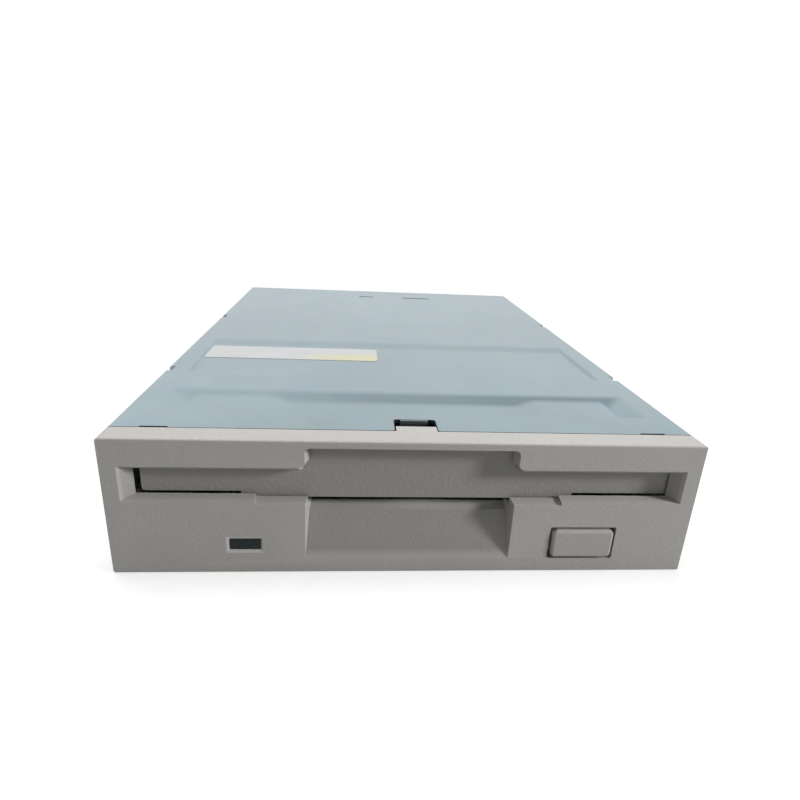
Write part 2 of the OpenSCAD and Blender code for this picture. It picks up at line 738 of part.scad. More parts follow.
// Front view of the door, with its stepped lower edge and rounded corners
module door_face() {
    translate([0, (door_low_z + door_top_z) / 2])
        round_rect(2 * door_x, door_top_z - door_low_z, 0.5);
    translate([-door_step_x, door_low_z - door_mid_step]) square([2 * door_step_x, 2]);
    translate([-scoop_half_w, door_low_z - door_mid_drop + door_t / 2]) square([2 * scoop_half_w, 2]);
}

// Torsion spring on the hinge line, with one leg on the door and one under the bezel's top
door_wire_r = wire_r * 0.7;
door_coil_r = 0.8;
door_coil_len = 3;
door_coil_x = scoop_half_w - 2.3;
door_wire = concat([[door_coil_x, door_y + door_t + door_wire_r + 0.05, door_axis_z - 3.2]],
    [for (p = helix_points(door_coil_r, door_coil_len, 3))
        [door_coil_x + p[2], door_axis_y + p[0], door_axis_z + p[1]]],
    [[door_coil_x + door_coil_len, door_axis_y + 3.2, door_axis_z + 0.7]]);
module door_spring() color(steel) swept_wire(door_wire, door_wire_r);

module eject_button() color(bezel_grey) difference() {
    rounded_front_block(button_at, button_z, button_w, button_h, -button_proud, button_len, button_r, 0.6);
    box([button_at - slide_tongue_w / 2 - 0.1, slide_tongue_y - 0.1, tongue_low_z - 0.05],
        [button_at + slide_tongue_w / 2 + 0.1, button_len + cut, tongue_low_z + sheet_t + 0.05]);
}

// Slide plate, with two cam cheeks on each side, a tongue to the button and a latch lug
slide_tongue_w = 7;
slide_tongue_y = 5;
tongue_low_z = button_z + 0.2;
joggle_y = button_len + 2.2;
cross_y0 = 27;
cross_y1 = 31.6;
module slide_plate() color(steel) difference() {
    union() {
        both_sides() {
            box([slide_in, slide_y0, slide_z], [flange_out, slide_y1, slide_top]);
            box([flange_in, slide_y0, slide_z], [flange_out, slide_y1, slide_z + 3]);
            for (y = guide_ys)
                along_x(flange_in, sheet_t) cam_cheek(y);
            box([spring_x - 1, spring_y1, slide_z], [slide_in + 1, spring_y1 + 2, slide_top]);
            box([spring_x - 1, spring_y1, slide_z], [spring_x + 1, spring_y1 + sheet_t, spring_z + 0.6]);
        }
        box([-slide_in - 1, cross_y0, slide_z], [slide_in + 1, cross_y1, slide_top]);
        box([button_at - slide_tongue_w / 2, joggle_y, slide_z],
            [button_at + slide_tongue_w / 2, cross_y0 + 1, slide_top]);
        box([button_at - slide_tongue_w / 2, joggle_y, tongue_low_z],
            [button_at + slide_tongue_w / 2, joggle_y + sheet_t, slide_top]);
        box([button_at - slide_tongue_w / 2, slide_tongue_y, tongue_low_z],
            [button_at + slide_tongue_w / 2, joggle_y + sheet_t, tongue_low_z + sheet_t]);
        box([-flange_out, lug_y0, slide_z], [-flange_in, lug_y0 + 3, lever_low_z + lever_t + 0.3]);
    }
    both_sides() {
        for (y = guide_ys)
            along_x(flange_in - cut, sheet_t + 2 * cut)
                slot_between([y, guide_z],
                    [y + eject_travel, guide_z - disk_drop], guide_pin_r + guide_play);
        for (y = post_ys)
            along_z(slide_z - cut, sheet_t + 2 * cut)
                slot_between([post_x, y], [post_x, y + eject_travel], post_r + 0.3);
    }
}
module cam_cheek(y) polygon([
    [y - 4, slide_z], [y - 3, cheek_top], [y + 3, cheek_top],
    [y + eject_travel + 3.4, cheek_top - disk_drop], [y + eject_travel + 6, slide_z]
]);

// Shouldered posts that hold the slide plate down on the floor
module slide_posts() color(steel) both_sides() for (y = post_ys) translate([post_x, y, floor_z]) {
    cylinder(r = post_r, h = slide_top - floor_z + 0.7);
    translate([0, 0, slide_top - floor_z + 0.1]) cylinder(r = post_r + 1, h = 0.6);
}

// Pair of extension springs between the floor's hooks and the slide plate
spring_hook = 1.6;
eject_wire = concat([[spring_x + spring_r, spring_y0 + 0.1, spring_z]],
    [for (p = helix_points(spring_r, spring_len - 2 * spring_hook, spring_curls))
        [spring_x + p[0], spring_y0 + spring_hook + p[2], spring_z + p[1]]],
    [[spring_x + spring_r, spring_y1 - 0.1, spring_z]]);
module eject_springs() color(steel) both_sides() swept_wire(eject_wire, wire_r);

// Sheet-metal holder that the diskette slides into
window_half_w = 13;
window_y = spindle_at + 17;
module disk_holder() color(zinc) difference() {
    union() {
        box([-holder_out, holder_y0, holder_top_z], [holder_out, holder_end, holder_lid_z]);
        both_sides() {
            box([holder_in, holder_y0, lip_low_z], [holder_out, holder_end, holder_lid_z]);
            box([slide_in, holder_y0, lip_low_z], [holder_out, holder_end, lip_top_z]);
        }
    }
    box([-window_half_w, window_y, holder_top_z - 0.2],
        [window_half_w, holder_end + cut, holder_lid_z + cut]);
    translate([0, spindle_at - 3, holder_top_z - 0.2]) cylinder(r = 13, h = sheet_t + cut);
    finger_slot();
    both_sides() along_z(holder_top_z - 0.2, sheet_t + cut)
        slot_between([slide_in - 8, 26], [slide_in - 8, 44], 3);
}
// Arc that the lever's finger sweeps through the holder's lid
finger_r = 1.5;
module finger_slot() {
    r = finger_r + 0.5;
    a0 = lever_rest_deg - 4;
    a1 = lever_rest_deg + lever_swing_deg;
    translate([lever_at, lever_axis_y, holder_top_z - 0.2]) {
        rotate(a0) rotate_extrude(angle = a1 - a0) translate([lever_len - r, 0])
            square([2 * r, sheet_t + cut]);
        rotate(a1) translate([lever_len, 0, 0]) cylinder(r = r, h = sheet_t + cut);
    }
}

module holder_pins() color(steel) both_sides() for (y = guide_ys)
    bar_x(y, guide_z, guide_pin_r, holder_out, guide_tip - 0.3);

// Lever that opens the diskette's shutter and latches the slide plate
lever_low_z = holder_lid_z + 0.3;
lever_hook_len = flange_out - 0.2 + lever_at;
module shutter_lever() color(zinc) translate([lever_at, lever_axis_y, lever_low_z]) difference() {
    union() {
        linear_extrude(lever_t) {
            circle(4);
            rotate(lever_rest_deg) slot_between([0, 0], [lever_len, 0], 2);
            translate([-lever_hook_len, -1.25]) square([lever_hook_len, 2.5]);
        }
        rotate(lever_rest_deg) translate([lever_len, 0, lip_top_z + 0.6 - lever_low_z])
            cylinder(r = finger_r, h = lever_low_z - lip_top_z - 0.5);
    }
    translate([0, 0, -cut]) cylinder(r = lever_post_r + run_clear, h = lever_t + 2 * cut);
}

lever_head_z = lever_low_z + lever_t + 1.5;
module lever_pivot() color(steel) translate([lever_at, lever_axis_y, 0]) {
    translate([0, 0, holder_lid_z]) cylinder(r = lever_post_r, h = lever_head_z - holder_lid_z + 0.6);
    translate([0, 0, lever_head_z]) cylinder(r = lever_post_r + 1.3, h = 0.6);
}

// Torsion spring around the pivot post, above the lever
lever_wire_r = wire_r * 0.8;
lever_coil_r = lever_post_r + 0.5;
lever_coil_rise = 0.9;
lever_wire = concat([[lever_coil_r, -7, 0]], helix_points(lever_coil_r, lever_coil_rise, 1),
    [[lever_coil_r, 9, lever_coil_rise]]);
module lever_spring() color(steel)
    translate([lever_at, lever_axis_y, lever_low_z + lever_t + lever_wire_r + 0.1])
        swept_wire(lever_wire, lever_wire_r);

// Cover: top sheet with folded flanges, pressed trough and panel, and a notch for the tongue
module top_cover() color(zinc) {
    difference() {
        union() {
            difference() {
                cover_body(0);
                cover_body(cover_t);
            }
            intersection() {
                cover_body(0);
                union() {
                    trough_skin(cover_t);
                    panel_skin(cover_t);
                }
            }
        }
        trough_skin(0);
        panel_skin(0);
        front_notch();
        both_sides() edge_reliefs();
        for (side = [-1, 1], y = cover_screw_ys)
            translate([side * hw, y, cover_screw_z]) rotate([0, -side * 90, 0])
                flat_screw(cover_head_r + 0.05, cover_screw_r + 0.4, cover_t, 4);
        rear_slots();
    }
    notch_tab();
}
// Outer shape of the cover, drawn in by t for the inner shape
module cover_body(t) intersection() {
    low = t > 0 ? flange_low_z - cut : flange_low_z;
    along_y(cover_front - t * 2, rear_y - cover_front + t)
        translate([0, low]) roof(2 * (hw - t), cover_z - t - low, max(fold_r - t, 0.05));
    along_x(-hw, drive_w) translate([rear_y - t, low]) mirror([1, 0])
        back_rounded(rear_y - cover_front + cut, cover_z - t - low, max(fold_r - t, 0.05));
}
// Rectangle of width w and height h standing on y = 0 with its two upper corners rounded
module roof(w, h, r) {
    translate([-w / 2, 0]) square([w, h - r]);
    translate([-w / 2 + r, 0]) square([w - 2 * r, h]);
    for (s = [-1, 1]) translate([s * (w / 2 - r), h - r]) circle(r);
}
// Rectangle from (0, 0) to (d, h) with the corner at (0, h) rounded
module back_rounded(d, h, r) {
    square([d, h - r]);
    translate([r, 0]) square([d - r, h]);
    translate([r, h - r]) circle(r);
}
// Pressed trough with its two pads, lowered by drop for the underside
module trough_skin(drop) difference() {
    pressed(-trough_x, trough_x, trough_y0, trough_y1, trough_depth, 1.2, trough_slope,
        trough_slope, drop);
    both_sides() pad_skin(drop);
}
module pad_skin(drop) {
    low = cover_z - trough_depth - drop - cut;
    top = cover_z - pad_depth - drop;
    intersection() {
        along_y(trough_y0 - 2, trough_y1 - trough_y0 + 4) polygon([
            [pad_at - pad_w / 2 - 4.4, low], [pad_at - pad_w / 2 - 4, cover_z - trough_depth - drop],
            [pad_at - pad_w / 2, top], [pad_at + pad_w / 2, top],
            [pad_at + pad_w / 2 + trough_slope, low]]);
        along_x(0, hw) polygon([[trough_y0 - 2, low], [trough_y0 - 2, top], [trough_y1 + 2, top],
            [trough_y1 + 2, low]]);
    }
}
module panel_skin(drop)
    pressed(-panel_x, panel_x, panel_y0, panel_y1, panel_depth, 0.5, panel_slope, 0.5, drop);
// Pocket with sloped walls: front, rear and side slope widths, lowered by drop
module pressed(x0, x1, y0, y1, depth, front, rear, side, drop) intersection() {
    low = cover_z - depth - drop;
    top = cover_z - drop;
    over = drop > 0 ? 0 : cut;
    along_x(x0 - side, x1 - x0 + 2 * side) polygon([
        [y0, top], [y0 + front, low], [y1 - rear, low], [y1, top], [y1, top + over + drop],
            [y0, top + over + drop]]);
    along_y(y0 - 1, y1 - y0 + 2) polygon([
        [x0, top], [x0 + side, low], [x1 - side, low], [x1, top], [x1, top + over + drop],
            [x0, top + over + drop]]);
}
module front_notch() along_z(cover_under_z - cut, cover_t + 2 * cut) translate([notch_x, 0]) {
    inner = notch_half_w - relief_r;
    translate([-notch_half_w, cover_front - cut]) square([2 * notch_half_w, notch_len + cut - relief_r]);
    translate([-inner, cover_front]) square([2 * inner, notch_len]);
    for (side = [-1, 1]) {
        translate([side * inner, notch_y1 - relief_r]) circle(relief_r);
        difference() {
            translate([side * (notch_half_w + notch_flare_r / 2) - notch_flare_r / 2, cover_front - cut])
                square([notch_flare_r, notch_flare_r + cut]);
            translate([side * (notch_half_w + notch_flare_r), cover_front + notch_flare_r])
                circle(notch_flare_r);
        }
    }
}
// Tab between the relief holes, bent down behind the tongue
notch_y1 = cover_front + notch_len;
module notch_tab() {
    half_w = notch_half_w - 2 * relief_r;
    along_x(notch_x - half_w, 2 * half_w) translate([notch_y1, cover_z]) polygon([
        [0.2, 0], [0, -0.02], [-0.3, -0.15], [-0.5, -0.4], [-0.6, -0.8], [-0.6, -notch_tab_h],
        [cover_t - 0.6, -notch_tab_h], [cover_t - 0.6, -cover_t]]);
}
// Small cuts along the folded edges, left by the press tools
module edge_reliefs() {
    for (y = [36, 90]) box([hw - cover_t - 0.6, y, cover_z - 1.6], [hw + cut, y + 3.2, cover_z + cut]);
    box([hw - 9.8, cover_front - cut, cover_under_z - cut],
        [hw - 5.2, cover_front + 0.4, cover_z + cut]);
}
module rear_slots() along_z(cover_under_z - cut, cover_t + 2 * cut) {
    y = rear_y - 13;
    slot_between([-8.2, y], [-3.4, y], 0.6);
    slot_between([8.4, y], [17.8, y], 0.6);
}

module cover_screws() color(steel) for (side = [-1, 1], y = cover_screw_ys)
    translate([side * hw, y, cover_screw_z]) rotate([0, -side * 90, 0])
        flat_screw(cover_head_r, cover_screw_r, cover_t, 2.6);

// Die-cast chassis: floor, side and rear walls with their bosses, slots and cut-outs
module chassis() color(cast_grey) difference() {
    union() {
        both_sides() {
            box([wall_in, cover_y0, 0], [hw, rear_y, flange_low_z - seam]);
            box([wall_in, cover_y0, 0], [rebate_x, rear_y - cover_t - 0.1, cover_under_z - seam]);
            for (y = side_hole_ys) bar_x(y, side_hole_z, 2.5, hw - mount_hole_len - 1, hw - 1);
            for (y = bottom_hole_ys) translate([hole_x, y, 0])
                cylinder(r = 2.9, h = floor_z - 0.1);
            translate([spring_x, spring_y0 - 1, floor_z - 0.1])
                cylinder(r = 1, h = spring_z - floor_z + 0.8);
        }
        box([-wall_in - 0.1, 8, floor_z - floor_t], [wall_in + 0.1, rear_y - 1, floor_z]);
        box([-hw + 1, rear_wall_y, 0], [hw - 1, rear_y, flange_low_z - seam]);
        box([-wall_in - 0.1, rear_wall_y, 0],
            [wall_in + 0.1, rear_y - cover_t - 0.1, cover_under_z - seam]);
        for (b = board_boss) translate([b[0], b[1], main_board_top])
            cylinder(r = 2.4, h = floor_z - main_board_top - 0.1);
    }
    floor_cuts();
    both_sides() {
        wall_cuts();
        for (y = bottom_hole_ys) translate([hole_x, y, -cut])
            cylinder(r = mount_hole_r, h = mount_hole_len + cut);
        for (y = side_hole_ys) bar_x(y, side_hole_z, mount_hole_r, hw - mount_hole_len, hw + cut);
        for (y = cover_screw_ys) bar_x(y, cover_screw_z, cover_screw_r + press, wall_in - cut, hw + cut);
    }
    for (b = board_boss) translate([b[0], b[1], main_board_z]) cylinder(r = 0.9, h = 4);
    rear_openings();
}
module floor_cuts() along_z(floor_z - floor_t - 0.05, floor_t + 0.1) {
    translate([0, spindle_at]) circle(bearing_r + 0.05);
    translate([button_at - button_w / 2 - 0.6, 7]) square([button_w + 1.2, joggle_y + sheet_t - 6.4]);
    translate([led_at - 3.4, 7]) square([6.8, led_leg_y - 4]);
    translate([rod_at - bush_r - 0.8, tower_y0 - seek_travel - 0.8])
        square([2 * bush_r + 1.6, seek_travel + tower_y1 - tower_y0 + 1.6]);
    translate([stepper_at - stepper_r - 0.6, stepper_face]) square([2 * stepper_r + 1.2, stepper_len + 1]);
    translate([-6, tower_y1 + 0.4]) square([12, rear_y]);
    translate([header_x - header_w / 2 - 1.5, leg_y[1] - 1]) square([header_w + 3, 20]);
    translate([power_x - power_w / 2 - 1, rear_wall_y - 8]) square([power_w + 2, 20]);
    for (a = motor_screw_degs) translate([motor_screw_r * cos(a), spindle_at + motor_screw_r * sin(a)])
        circle(1);
}
module wall_cuts() {
    for (y = guide_ys)
        box([wall_in - cut, y - guide_pin_r - guide_play, guide_z - disk_drop - guide_pin_r - 0.6],
            [guide_tip, y + guide_pin_r + guide_play, cover_z]);
    box([wall_in - cut, hook_y - 2.4, hook_z[0] - 0.2], [wall_in + 1.4, hook_y + 0.2, hook_z[1] + 0.2]);
}
module rear_openings() {
    box([header_x - header_w / 2 - 1.5, rear_wall_y - cut, -cut],
        [header_x + header_w / 2 + 1.5, rear_y + cut, connector_top]);
    box([power_x - power_w / 2 - 1, rear_wall_y - cut, -cut],
        [power_x + power_w / 2 + 1, rear_y + cut, connector_top]);
}

// Steel-cored motor board under the floor, with an arm to the light and a tail to the main board
module motor_board() color(board_green) difference() {
    along_z(motor_board_z, motor_board_t) {
        translate([0, spindle_at]) circle(rotor_r + 5.4);
        translate([led_at - 4.6, led_leg_y - 0.6]) square([9.2, spindle_at - led_leg_y]);
        translate([-12, spindle_at]) square([24, board_y0 - 3 - spindle_at]);
    }
    translate([0, spindle_at, 0]) cylinder(r = bearing_r + 0.05, h = floor_z);
    motor_screw_places() cylinder(r = 1.1, h = floor_z);
}
module motor_screw_places() for (a = motor_screw_degs)
    translate([motor_screw_r * cos(a), spindle_at + motor_screw_r * sin(a), 0]) children();

module motor_board_screws() color(steel) motor_screw_places()
    translate([0, 0, motor_board_z]) pan_screw(1.9, 0.9, 0.95, motor_board_t + floor_t);

// Laminated stator with pole shoes
core_z = motor_board_z - 1.2;
core_t = 0.7;
module stator_core() color(steel) translate([0, spindle_at, core_z]) difference() {
    linear_extrude(core_t) {
        circle(bearing_r + 3.4);
        for (k = [0 : stator_teeth - 1]) rotate(k * 360 / stator_teeth) {
            translate([bearing_r + 2, -0.7]) square([tooth_r - bearing_r - 2.8, 1.4]);
            translate([tooth_r - 1, -2]) square([0.9, 4]);
        }
    }
    translate([0, 0, -cut]) cylinder(r = bearing_r + 0.05, h = core_t + 2 * cut);
}
coil_in = bearing_r + 4.6;
module stator_coils() color(copper) for (k = [0 : stator_teeth - 1])
    translate([0, spindle_at, 0]) rotate(k * 360 / stator_teeth) difference() {
        along_x(coil_in, tooth_r - 1.6 - coil_in) translate([0, core_z + core_t / 2])
            round_rect(2.9, 1.7, 0.6);
        box([0, -0.75, core_z - 0.05], [tooth_r, 0.75, core_z + core_t + 0.05]);
    }

// Bronze bearing with the flange that hangs it in the floor
module spindle_bearing() color(brass) translate([0, spindle_at, 0]) difference() {
    union() {
        translate([0, 0, core_z - 0.6]) cylinder(r = bearing_r, h = hub_low_z - 0.6 - core_z + 0.3);
        translate([0, 0, floor_z]) cylinder(r = bearing_r + 3, h = 0.9);
    }
    translate([0, 0, -cut]) cylinder(r = shaft_r + run_clear, h = drive_h);
}

module rotor_cup() color(zinc) translate([0, spindle_at, rotor_z]) difference() {
    rotate_extrude() polygon([
        [shaft_r + press, 0], [rotor_r - 0.8, 0], [rotor_r, 0.8], [rotor_r, rotor_h],
            [rotor_r - rotor_t, rotor_h],
        [rotor_r - rotor_t, 0.8 + rotor_t], [rotor_r - rotor_t - 0.5, rotor_t],
        [shaft_r + 2, rotor_t], [shaft_r + 2, 1.5], [shaft_r + press, 1.5]]);
    for (k = [0 : 5]) rotate(k * 60) translate([rotor_r * 0.58, 0, -cut])
        cylinder(r = 3, h = rotor_t + 2 * cut);
}
module rotor_magnet() color(dark) translate([0, spindle_at, rotor_z + 0.8 + rotor_t + 0.05])
    rotate_extrude() translate([rotor_r - rotor_t - magnet_t, 0])
        square([magnet_t - press, rotor_h - 1 - rotor_t]);

shaft_tip_z = hub_z + 1.5;
module spindle_shaft() color(steel) translate([0, spindle_at, 0]) rotate_extrude() polygon([
    [0, rotor_z], [shaft_r, rotor_z], [shaft_r, shaft_tip_z - 0.8], [shaft_r - 0.6, shaft_tip_z],
        [0, shaft_tip_z]]);

module chuck_hub() color(dark) translate([0, spindle_at, 0]) difference() {
    rotate_extrude() polygon([
        [shaft_r + press, hub_low_z], [hub_r - 0.6, hub_low_z], [hub_r, hub_low_z + 0.6],
            [hub_r, hub_z - 0.3],
        [hub_r - 0.3, hub_z], [hub_r - 1.6, hub_z], [hub_r - 1.8, hub_z - 0.4], [5, hub_z - 0.4],
        [4.8, hub_z], [shaft_r + press, hub_z]]);
    translate([drive_pin_at, 0, 0]) cylinder(r = drive_pin_r + run_clear, h = drive_h);
}
// Drive pin, sprung in the hub so that it can sink under the diskette's plate
pin_sink = 1;
module drive_pin() color(steel) translate([drive_pin_at, spindle_at, hub_low_z + pin_sink * 0.4]) {
    cylinder(r = drive_pin_r, h = 2.2);
    translate([0, 0, 2.2]) cylinder(r1 = drive_pin_r, r2 = drive_pin_r - 0.4, h = 0.4);
}

module main_board() color(board_green) difference() {
    along_z(main_board_z, main_board_t) difference() {
        translate([-board_x, board_y0])
            square([2 * board_x, main_board_y1 - board_y0]);
        for (b = board_boss) translate(b) circle(1.1);
        for (s = [-1, 1]) translate([s * board_x, board_y0]) circle(4);
    }
    pin_legs(0.1);
    power_legs(0.1);
}
module board_screws() color(steel) for (b = board_boss)
    translate([b[0], b[1], main_board_z]) pan_screw(2, 1, 0.85, main_board_t + 1.8);

// Packaged chips on the underside of the main board, each with two rows of leads
module board_chips() color(dark) {
    chip([-18 * across, board_y0 + 20], [14, 10]);
    chip([10 * across, board_y0 + 22], [10, 7]);
    chip([30 * across, board_y0 + 28], [8, 6]);
    chip([4 - boss_x, board_y0 + 22], [6, 5]);
}
module chip(at, size) {
    box([at[0] - size[0] / 2, at[1] - size[1] / 2, main_board_z - 1.1],
        [at[0] + size[0] / 2, at[1] + size[1] / 2, main_board_z - 0.1]);
    n = floor(size[0] / 1.27) - 1;
    for (i = [0 : n - 1])
        translate([at[0] + (i - (n - 1) / 2) * 1.27, at[1], 0])
            box([-0.2, -size[1] / 2 - 0.8, main_board_z - 0.3], [0.2, size[1] / 2 + 0.8, main_board_z]);
}

// Flat cable between the two boards
module motor_ribbon() color([0.85, 0.86, 0.84]) {
    y0 = board_y0 - 6;
    along_x(-8, 16) polygon([
        [y0, motor_board_z], [y0, motor_board_z - 0.25], [y0 + 4.2, motor_board_z - 0.25],
        [y0 + 6.4, main_board_top], [y0 + 11, main_board_top], [y0 + 11, main_board_top + 0.25],
        [y0 + 6.5, main_board_top + 0.25], [y0 + 4.4, motor_board_z]]);
}

// Signal header: bare right-angle pins in a moulded block
header_y0 = rear_wall_y - 4.6;
header_y1 = rear_wall_y - 1.9;
row_z = [for (k = [0, 1]) main_board_top + 0.2 + pin_pitch * (0.5 + k)];
leg_y = [for (k = [0, 1]) header_y0 - 1.1 - pin_pitch * k];
function pin_x(i) = header_x + (i - (pin_count - 1) / 2) * pin_pitch;
module signal_header() color(dark) difference() {
    box([header_x - header_w / 2, header_y0, main_board_top],
        [header_x + header_w / 2, header_y1, main_board_top + header_h]);
    for (i = [0 : pin_count - 1], k = [0, 1])
        box([pin_x(i) - pin_w / 2, header_y0 - cut, row_z[k] - pin_w / 2],
            [pin_x(i) + pin_w / 2, header_y1 + cut, row_z[k] + pin_w / 2]);
}
module pin_legs(grow) for (i = [0 : pin_count - 1], k = [0, 1])
    box([pin_x(i) - pin_w / 2 - grow, leg_y[k] - pin_w / 2 - grow, main_board_z - 0.6],
        [pin_x(i) + pin_w / 2 + grow, leg_y[k] + pin_w / 2 + grow, row_z[k] + pin_w / 2]);
module signal_pins() color(brass) {
    pin_legs(0);
    for (i = [0 : pin_count - 1], k = [0, 1])
        box([pin_x(i) - pin_w / 2, leg_y[k] - pin_w / 2, row_z[k] - pin_w / 2],
            [pin_x(i) + pin_w / 2, rear_y - 0.6, row_z[k] + pin_w / 2]);
}

power_y0 = rear_wall_y - 6;
power_pin_z = main_board_top + 3.2;
function power_pin_x(i) = power_x + (i - 1.5) * power_pitch;
module power_connector() color([0.9, 0.9, 0.87]) difference() {
    box([power_x - power_w / 2, power_y0, main_board_top],
        [power_x + power_w / 2, rear_y - 0.4, main_board_top + power_h]);
    box([power_x - power_w / 2 + 0.8, power_y0 + 1.6, main_board_top + 0.8],
        [power_x + power_w / 2 - 0.8, rear_y + cut, main_board_top + power_h - 0.8]);
    for (dx = [-1.9, 1.9])
        box([power_x + dx - 0.8, power_y0 + 5, main_board_top + power_h - cut],
            [power_x + dx + 0.8, rear_y + cut, main_board_top + power_h + cut]);
    for (i = [0 : 3])
        box([power_pin_x(i) - 0.35, power_y0 - cut, power_pin_z - 0.35],
            [power_pin_x(i) + 0.35, rear_y, power_pin_z + 0.35]);
}
module power_legs(grow) for (i = [0 : 3])
    box([power_pin_x(i) - 0.35 - grow, power_y0 - 1.2 - grow, main_board_z - 0.6],
        [power_pin_x(i) + 0.35 + grow, power_y0 - 0.5 + grow, power_pin_z + 0.35]);
module power_pins() color(steel) {
    power_legs(0);
    for (i = [0 : 3])
        box([power_pin_x(i) - 0.35, power_y0 - 1.2, power_pin_z - 0.35],
            [power_pin_x(i) + 0.35, rear_y - 1.4, power_pin_z + 0.35]);
}

// Stepper motor can with its front boss and rear cap
module stepper_motor() color(zinc) difference() {
    union() {
        bar_y(stepper_at, stepper_z, stepper_r, stepper_face, stepper_face + stepper_len);
        bar_y(stepper_at, stepper_z, 3, stepper_face - bracket_t, stepper_face + 1);
        bar_y(stepper_at, stepper_z, stepper_r - 3, stepper_face + stepper_len - 1,
            stepper_face + stepper_len + 0.8);
    }
    bar_y(stepper_at, stepper_z, 1.05, stepper_face - bracket_t - cut, stepper_face + 5);
    translate([0, stepper_face + stepper_len / 2 - 0.3, 0])
        difference() {
            bar_y(stepper_at, stepper_z, stepper_r + 1, 0, 0.6);
            bar_y(stepper_at, stepper_z, stepper_r - 0.4, -cut, 0.6 + cut);
        }
}

// U-shaped bracket that carries the motor and the screw's front bearing
bracket_y0 = screw_y0 - 0.2 - bracket_t;
module stepper_bracket() color(steel) difference() {
    union() {
        box([stepper_at - 4.5, bracket_y0, floor_z], [stepper_at + 4.5, stepper_face, floor_z + bracket_t]);
        box([stepper_at - 4.5, bracket_y0, floor_z],
            [stepper_at + 4.5, bracket_y0 + bracket_t, stepper_z + 3]);
        along_y(stepper_face - bracket_t, bracket_t) {
            translate([stepper_at - 9, floor_z]) square([18, stepper_z - floor_z]);
            translate([stepper_at, stepper_z]) circle(9);
        }
    }
    box([stepper_at - 20, stepper_face - 3, floor_z - 20], [stepper_at + 20, stepper_face + 3, floor_z]);
    bar_y(stepper_at, stepper_z, 3.05, stepper_face - 3, stepper_face + 1);
    bar_y(stepper_at, stepper_z, 2.05, bracket_y0 - cut, bracket_y0 + 3);
    bracket_screw_places() translate([0, 0, -cut]) cylinder(r = 1.1, h = bracket_t + 2 * cut);
}
module bracket_screw_places() for (y = [bracket_y0 + 4.2, stepper_face - 5])
    translate([stepper_at, y, floor_z]) children();
module bracket_screws() color(steel) bracket_screw_places()
    translate([0, 0, bracket_t]) rotate([180, 0, 0]) pan_screw(1.9, 0.9, 1, bracket_t - 0.05);

module screw_bearing() color(brass) difference() {
    bar_y(stepper_at, stepper_z, 2, bracket_y0 - 0.4, bracket_y0 + bracket_t);
    bar_y(stepper_at, stepper_z, 0.8 + run_clear, bracket_y0 - cut, bracket_y0 + 3);
}
// Lead screw with its front journal and the tail that runs in the motor
module lead_screw() color(steel) {
    bar_y(stepper_at, stepper_z, screw_r, screw_y0, screw_y1);
    bar_y(stepper_at, stepper_z, 0.8, bracket_y0, screw_y0 + 0.1);
    bar_y(stepper_at, stepper_z, 1, screw_y1 - 0.1, stepper_face + 4);
}

module guide_rod() color(steel) bar_y(rod_at, rod_z, rod_r, rod_y0, rod_y1);
// Blocks that stop the rod's two ends on the floor and snap over them
clamp_wall = 1.5;
clamp_len = 4.5;
module rod_clamps() color(dark) difference() {
    for (y = [rod_y0 - clamp_wall, rod_y1 + clamp_wall - clamp_len])
        box([rod_at - 4, y, floor_z], [rod_at + 4, y + clamp_len, rod_z + 1.3]);
    bar_y(rod_at, rod_z, rod_r + press, rod_y0, rod_y1);
    box([rod_at - rod_r - press, rod_y0, floor_z - cut], [rod_at + rod_r + press, rod_y1, rod_z]);
}

// Carriage: nose under the diskette, bush on the guide rod, tower for the arm, follower and flag
ear_in = 6;
ear_out = 8;
deck_x = stepper_at - 12;
module head_carriage() color(dark) difference() {
    union() {
        box([-5, head_y - 6, carriage_low], [5, tower_y1, carriage_deck]);
        box([rod_at - 2, tower_y0, carriage_low], [deck_x, tower_y1, carriage_deck + 0.8]);
        bar_y(rod_at, rod_z, bush_r, tower_y0, tower_y1);
        both_sides() along_x(ear_in, ear_out - ear_in) {
            translate([tower_y0, carriage_deck]) square([tower_y1 - tower_y0, arm_pivot_z - carriage_deck]);
            translate([pivot_y, arm_pivot_z]) circle(3);
        }
        box([ear_out - 1, follower_y - 0.8, carriage_deck], [deck_x, follower_y + 0.8, stepper_z + 1.6]);
        box([ear_out - 1, follower_y - 0.8, stepper_z - 1.2],
            [stepper_at - screw_r - 0.3, follower_y + 0.8, stepper_z + 1.6]);
        box([flag_x0, tower_y0 + 1, flag_z], [rod_at, tower_y0 + 5, flag_z + 0.8]);
    }
    bar_y(rod_at, rod_z, rod_r + run_clear, tower_y0 - cut, tower_y1 + cut);
    bar_x(pivot_y, arm_pivot_z, 1 + press, -ear_out - cut, ear_out + cut);
    box([-3, head_y + 6, carriage_low - cut], [3, tower_y0 - 3, carriage_deck + cut]);
}
flag_z = carriage_deck;
sensor_x = rod_at - 10;
flag_x0 = sensor_x - 0.5;

module lower_head() color([0.82, 0.8, 0.76]) along_y(head_y - 3, 6) polygon([
    [-3.4, carriage_deck], [3.4, carriage_deck], [3, carriage_deck + 0.8], [2, head_z], [-2, head_z],
        [-3, carriage_deck + 0.8]]);

// Moves what is drawn with the arm level to its lifted rest position
module lifted() translate([0, pivot_y, arm_pivot_z]) rotate([-arm_lift_deg, 0, 0])
    translate([0, -pivot_y, -arm_pivot_z]) children();

